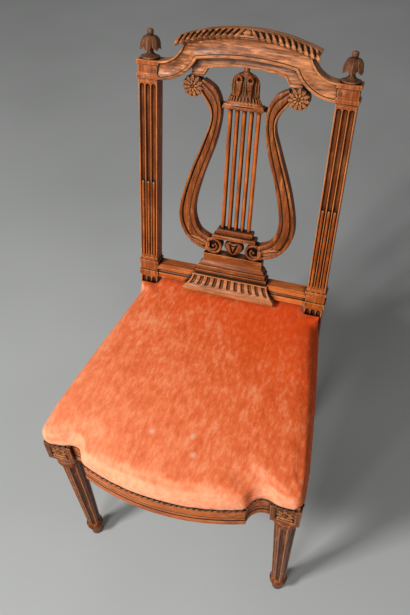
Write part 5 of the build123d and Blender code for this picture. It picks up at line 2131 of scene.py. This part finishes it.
@dataclass
class FrontLegs:
    """The turned and fluted front legs with their carved blocks."""

    x: float = 206.0
    y: float = -216.4
    block: float = 51.0
    block_low: float = 350.0
    block_high: float = 402.0
    top: float = 412.0
    rebate: float = 3.0
    panel: float = 34.0
    panel_depth: float = 3.0
    flutes: int = 6
    flute_low: float = 49.5
    flute_high: float = 315.0
    flute_half: Place = (4.2, 5.9)
    rings: tuple[Place, ...] = (
        (0.0, 10.6), (1.2, 11.6), (8.0, 12.2), (22.0, 13.2), (28.0, 13.6), (30.0, 14.4), (31.4, 16.2),
        (34.0, 17.4), (38.0, 17.8), (42.0, 17.4), (44.6, 16.2), (46.0, 14.6), (47.0, 14.1), (49.0, 14.1),
    )
    head_rings: tuple[Place, ...] = (
        (316.5, 20.4), (318.5, 20.6), (319.6, 22.0), (322.0, 23.8), (326.5, 24.8), (331.0, 24.4),
        (334.5, 22.8), (336.2, 20.6), (337.4, 18.6), (340.0, 17.8), (344.0, 18.0), (346.6, 19.4),
        (348.4, 21.4), (350.5, 22.2),
    )
    segments: int = 96

    def build(self, finishes: Finishes) -> None:
        """Models the right leg and its twin.

        Args:
            finishes: The chair's materials.
        """
        leg = joined([self.shaft(0.5), self.block_piece(), *self.patera()], "front_leg_carved_right")
        pattern = joined([self.shaft(0.0), self.block_piece(), *self.patera()], "front_leg_pattern")
        twin = mirrored(pattern, "front_leg_carved_left")
        discard(pattern)
        dress_pair(leg, twin, finishes.legs, "front_leg", CRISP)

    def shaft(self, turn: float) -> Piece:
        """The turned part with flutes that taper and have round ends.

        Args:
            turn: How far the flutes are turned, as a share of their pitch.

        Returns:
            The shaft in its place.
        """
        steps = 44
        low, high = self.rings[-1], self.head_rings[0]
        span = []
        for i in range(1, steps):
            rise, grow = (high[0] - low[0]) * i / steps, (high[1] - low[1]) * i / steps
            span.append((low[0] + rise, low[1] + grow))
        shaft = turned("front_leg_shaft", (*self.rings, *span, *self.head_rings), self.segments)
        for point in shaft.data.vertices:
            x, y, z = point.co / MM
            radius = math.hypot(x, y)
            if not self.flute_low < z < self.flute_high or radius < 5:
                continue
            share = (z - self.flute_low) / (self.flute_high - self.flute_low)
            wide = self.flute_half[0] + (self.flute_half[1] - self.flute_half[0]) * share
            step = 2 * math.pi / self.flutes
            aside = ((math.atan2(y, x) + step * (turn + 0.5)) % step - step / 2) * radius
            end = min(z - self.flute_low, self.flute_high - z)
            reach = wide if end > wide else math.sqrt(max(0.0, wide**2 - (wide - end) ** 2))
            if abs(aside) < reach:
                cut = 0.95 * math.sqrt(reach**2 - aside**2)
                point.co.x *= (radius - cut) / radius
                point.co.y *= (radius - cut) / radius
        return put(shaft, at_mm(self.x, self.y, 0))

    def block_piece(self) -> Piece:
        """The square block with a sunk panel in its front, and a rebate round its top for the cover.

        Returns:
            The block in its place.
        """
        bpy.ops.mesh.primitive_cube_add(size=1)
        block = bpy.context.object
        block.name = "front_leg_block"
        block.scale = (self.block * MM, self.block * MM, (self.block_high - self.block_low) * MM)
        block.location = (self.x * MM, self.y * MM, (self.block_high + self.block_low) / 2 * MM)
        settle(block)
        margin = (self.block - self.panel) / 2
        pick_faces(block, lambda face: face.normal.y < -0.9)
        with editing(block, everything=False):
            bpy.ops.mesh.inset(thickness=margin * MM, depth=0.0)
            bpy.ops.mesh.inset(thickness=1.4 * MM, depth=-self.panel_depth * MM)
        pick_faces(block, lambda face: face.normal.z > 0.9)
        with editing(block, everything=False):
            bpy.ops.mesh.inset(thickness=self.rebate * MM, depth=0.0)
            pull(0, 0, self.top - self.block_high)
        ease_edges(block, 0.9, 50)
        return block

    def patera(self) -> list[Piece]:
        """The carved flower in the sunk panel.

        Returns:
            The petals, the button and the corner tips.
        """
        face = self.y - self.block / 2 + self.panel_depth
        high = (self.block_low + self.block_high) / 2
        petal = put(bead("panel_petal", (4.2, 2.8, 6.2), 10), at_mm(0, 0, 9.8))
        for point in petal.data.vertices:
            if point.co.y < 0:
                point.co.y += 1.3 * MM * math.exp(-((point.co.x / (1.2 * MM)) ** 2))
        pieces = ring_of(petal, 8, "Y", place=at_mm(self.x, face, high))
        pieces.append(put(bead("panel_button", (4.4, 3.4, 4.4)), at_mm(self.x, face - 0.4, high)))
        for aside, above in ((-13, -13), (-13, 13), (13, -13), (13, 13)):
            tip = bead("panel_tip", (2.6, 1.8, 2.6), 8)
            pieces.append(put(tip, at_mm(self.x + aside, face, high + above)))
        return pieces


@dataclass
class Studio:
    """Floor, light and the camera that the photograph was taken with."""

    focal: float = 646.3
    place: Point = (0.254, -0.7094, 1.396)
    yaw: float = 19.81
    pitch: float = 47.64
    roll: float = -2.92
    floor_tones: tuple[Colour, Colour] = ((0.4, 0.41, 0.4), (0.46, 0.47, 0.46))
    world: float = 0.2
    lamps: tuple[tuple[str, Point, float, float], ...] = (
        ("key", (-1.35, -1.7, 2.5), 0.5, 70.0),
        ("fill", (-0.5, -2.6, 1.5), 0.8, 34.0),
    )
    lit_place: Point = (0.0, 0.0, 0.45)
    sensor: float = 36.0

    def build(self) -> None:
        """Makes the floor, the lamps, the world and the camera."""
        self.build_floor()
        self.build_light()
        self.build_camera()

    def build_floor(self) -> None:
        """Lays the plain pale floor."""
        bpy.ops.mesh.primitive_plane_add(size=14, location=(0, 0, 0))
        floor = bpy.context.object
        floor.name = "studio_floor"
        sheet = NodeSheet("studio_floor")
        haze = sheet.noise(1.5, 2.0, 0.5)
        tone = sheet.ramp(haze, ((0.3, self.floor_tones[0]), (0.7, self.floor_tones[1])))
        floor.data.materials.append(sheet.finish({"Base Color": tone, "Roughness": 0.9}))

    def build_light(self) -> None:
        """Hangs soft lamps and sets an even world."""
        world = bpy.data.worlds.new("studio")
        bpy.context.scene.world = world
        world.use_nodes = True
        background = world.node_tree.nodes["Background"]
        background.inputs["Color"].default_value = (1.0, 1.0, 1.0, 1.0)
        background.inputs["Strength"].default_value = self.world
        for name, place, size, power in self.lamps:
            bpy.ops.object.light_add(type="AREA", location=place)
            lamp = bpy.context.object
            lamp.name = name
            lamp.data.size = size
            lamp.data.energy = power
            aim = Vector(self.lit_place) - Vector(place)
            lamp.rotation_euler = aim.to_track_quat("-Z", "Y").to_euler()

    def build_camera(self) -> None:
        """Stands the camera where the photograph was taken."""
        yaw, pitch, roll = (math.radians(a) for a in (self.yaw, self.pitch, self.roll))
        ahead = Vector((-math.sin(yaw) * math.cos(pitch), math.cos(yaw) * math.cos(pitch), -math.sin(pitch)))
        right = Vector((math.cos(yaw), math.sin(yaw), 0))
        above = right.cross(ahead)
        x = right * math.cos(roll) + above * math.sin(roll)
        y = above * math.cos(roll) - right * math.sin(roll)
        turn = Matrix((x, y, -ahead)).transposed().to_4x4()
        bpy.ops.object.camera_add()
        camera = bpy.context.object
        camera.matrix_world = Matrix.Translation(self.place) @ turn
        camera.data.sensor_width = self.sensor
        camera.data.lens = self.focal / PHOTO_SIZE[1] * self.sensor
        bpy.context.scene.camera = camera
        bpy.context.scene.view_settings.view_transform = "Standard"


def main() -> None:
    """Builds the chair's pieces in order, and the studio round them."""
    logging.basicConfig(level=logging.INFO, format="%(name)s: %(message)s")
    finishes = Finishes()
    CadJoinery().dress(finishes)
    LyreBack().build(finishes)
    CrestWork().build(finishes)
    RearLegs().build(finishes)
    VelvetSeat().build(finishes)
    FrontLegs().build(finishes)
    Studio().build()


if __name__ == "__main__":
    main()
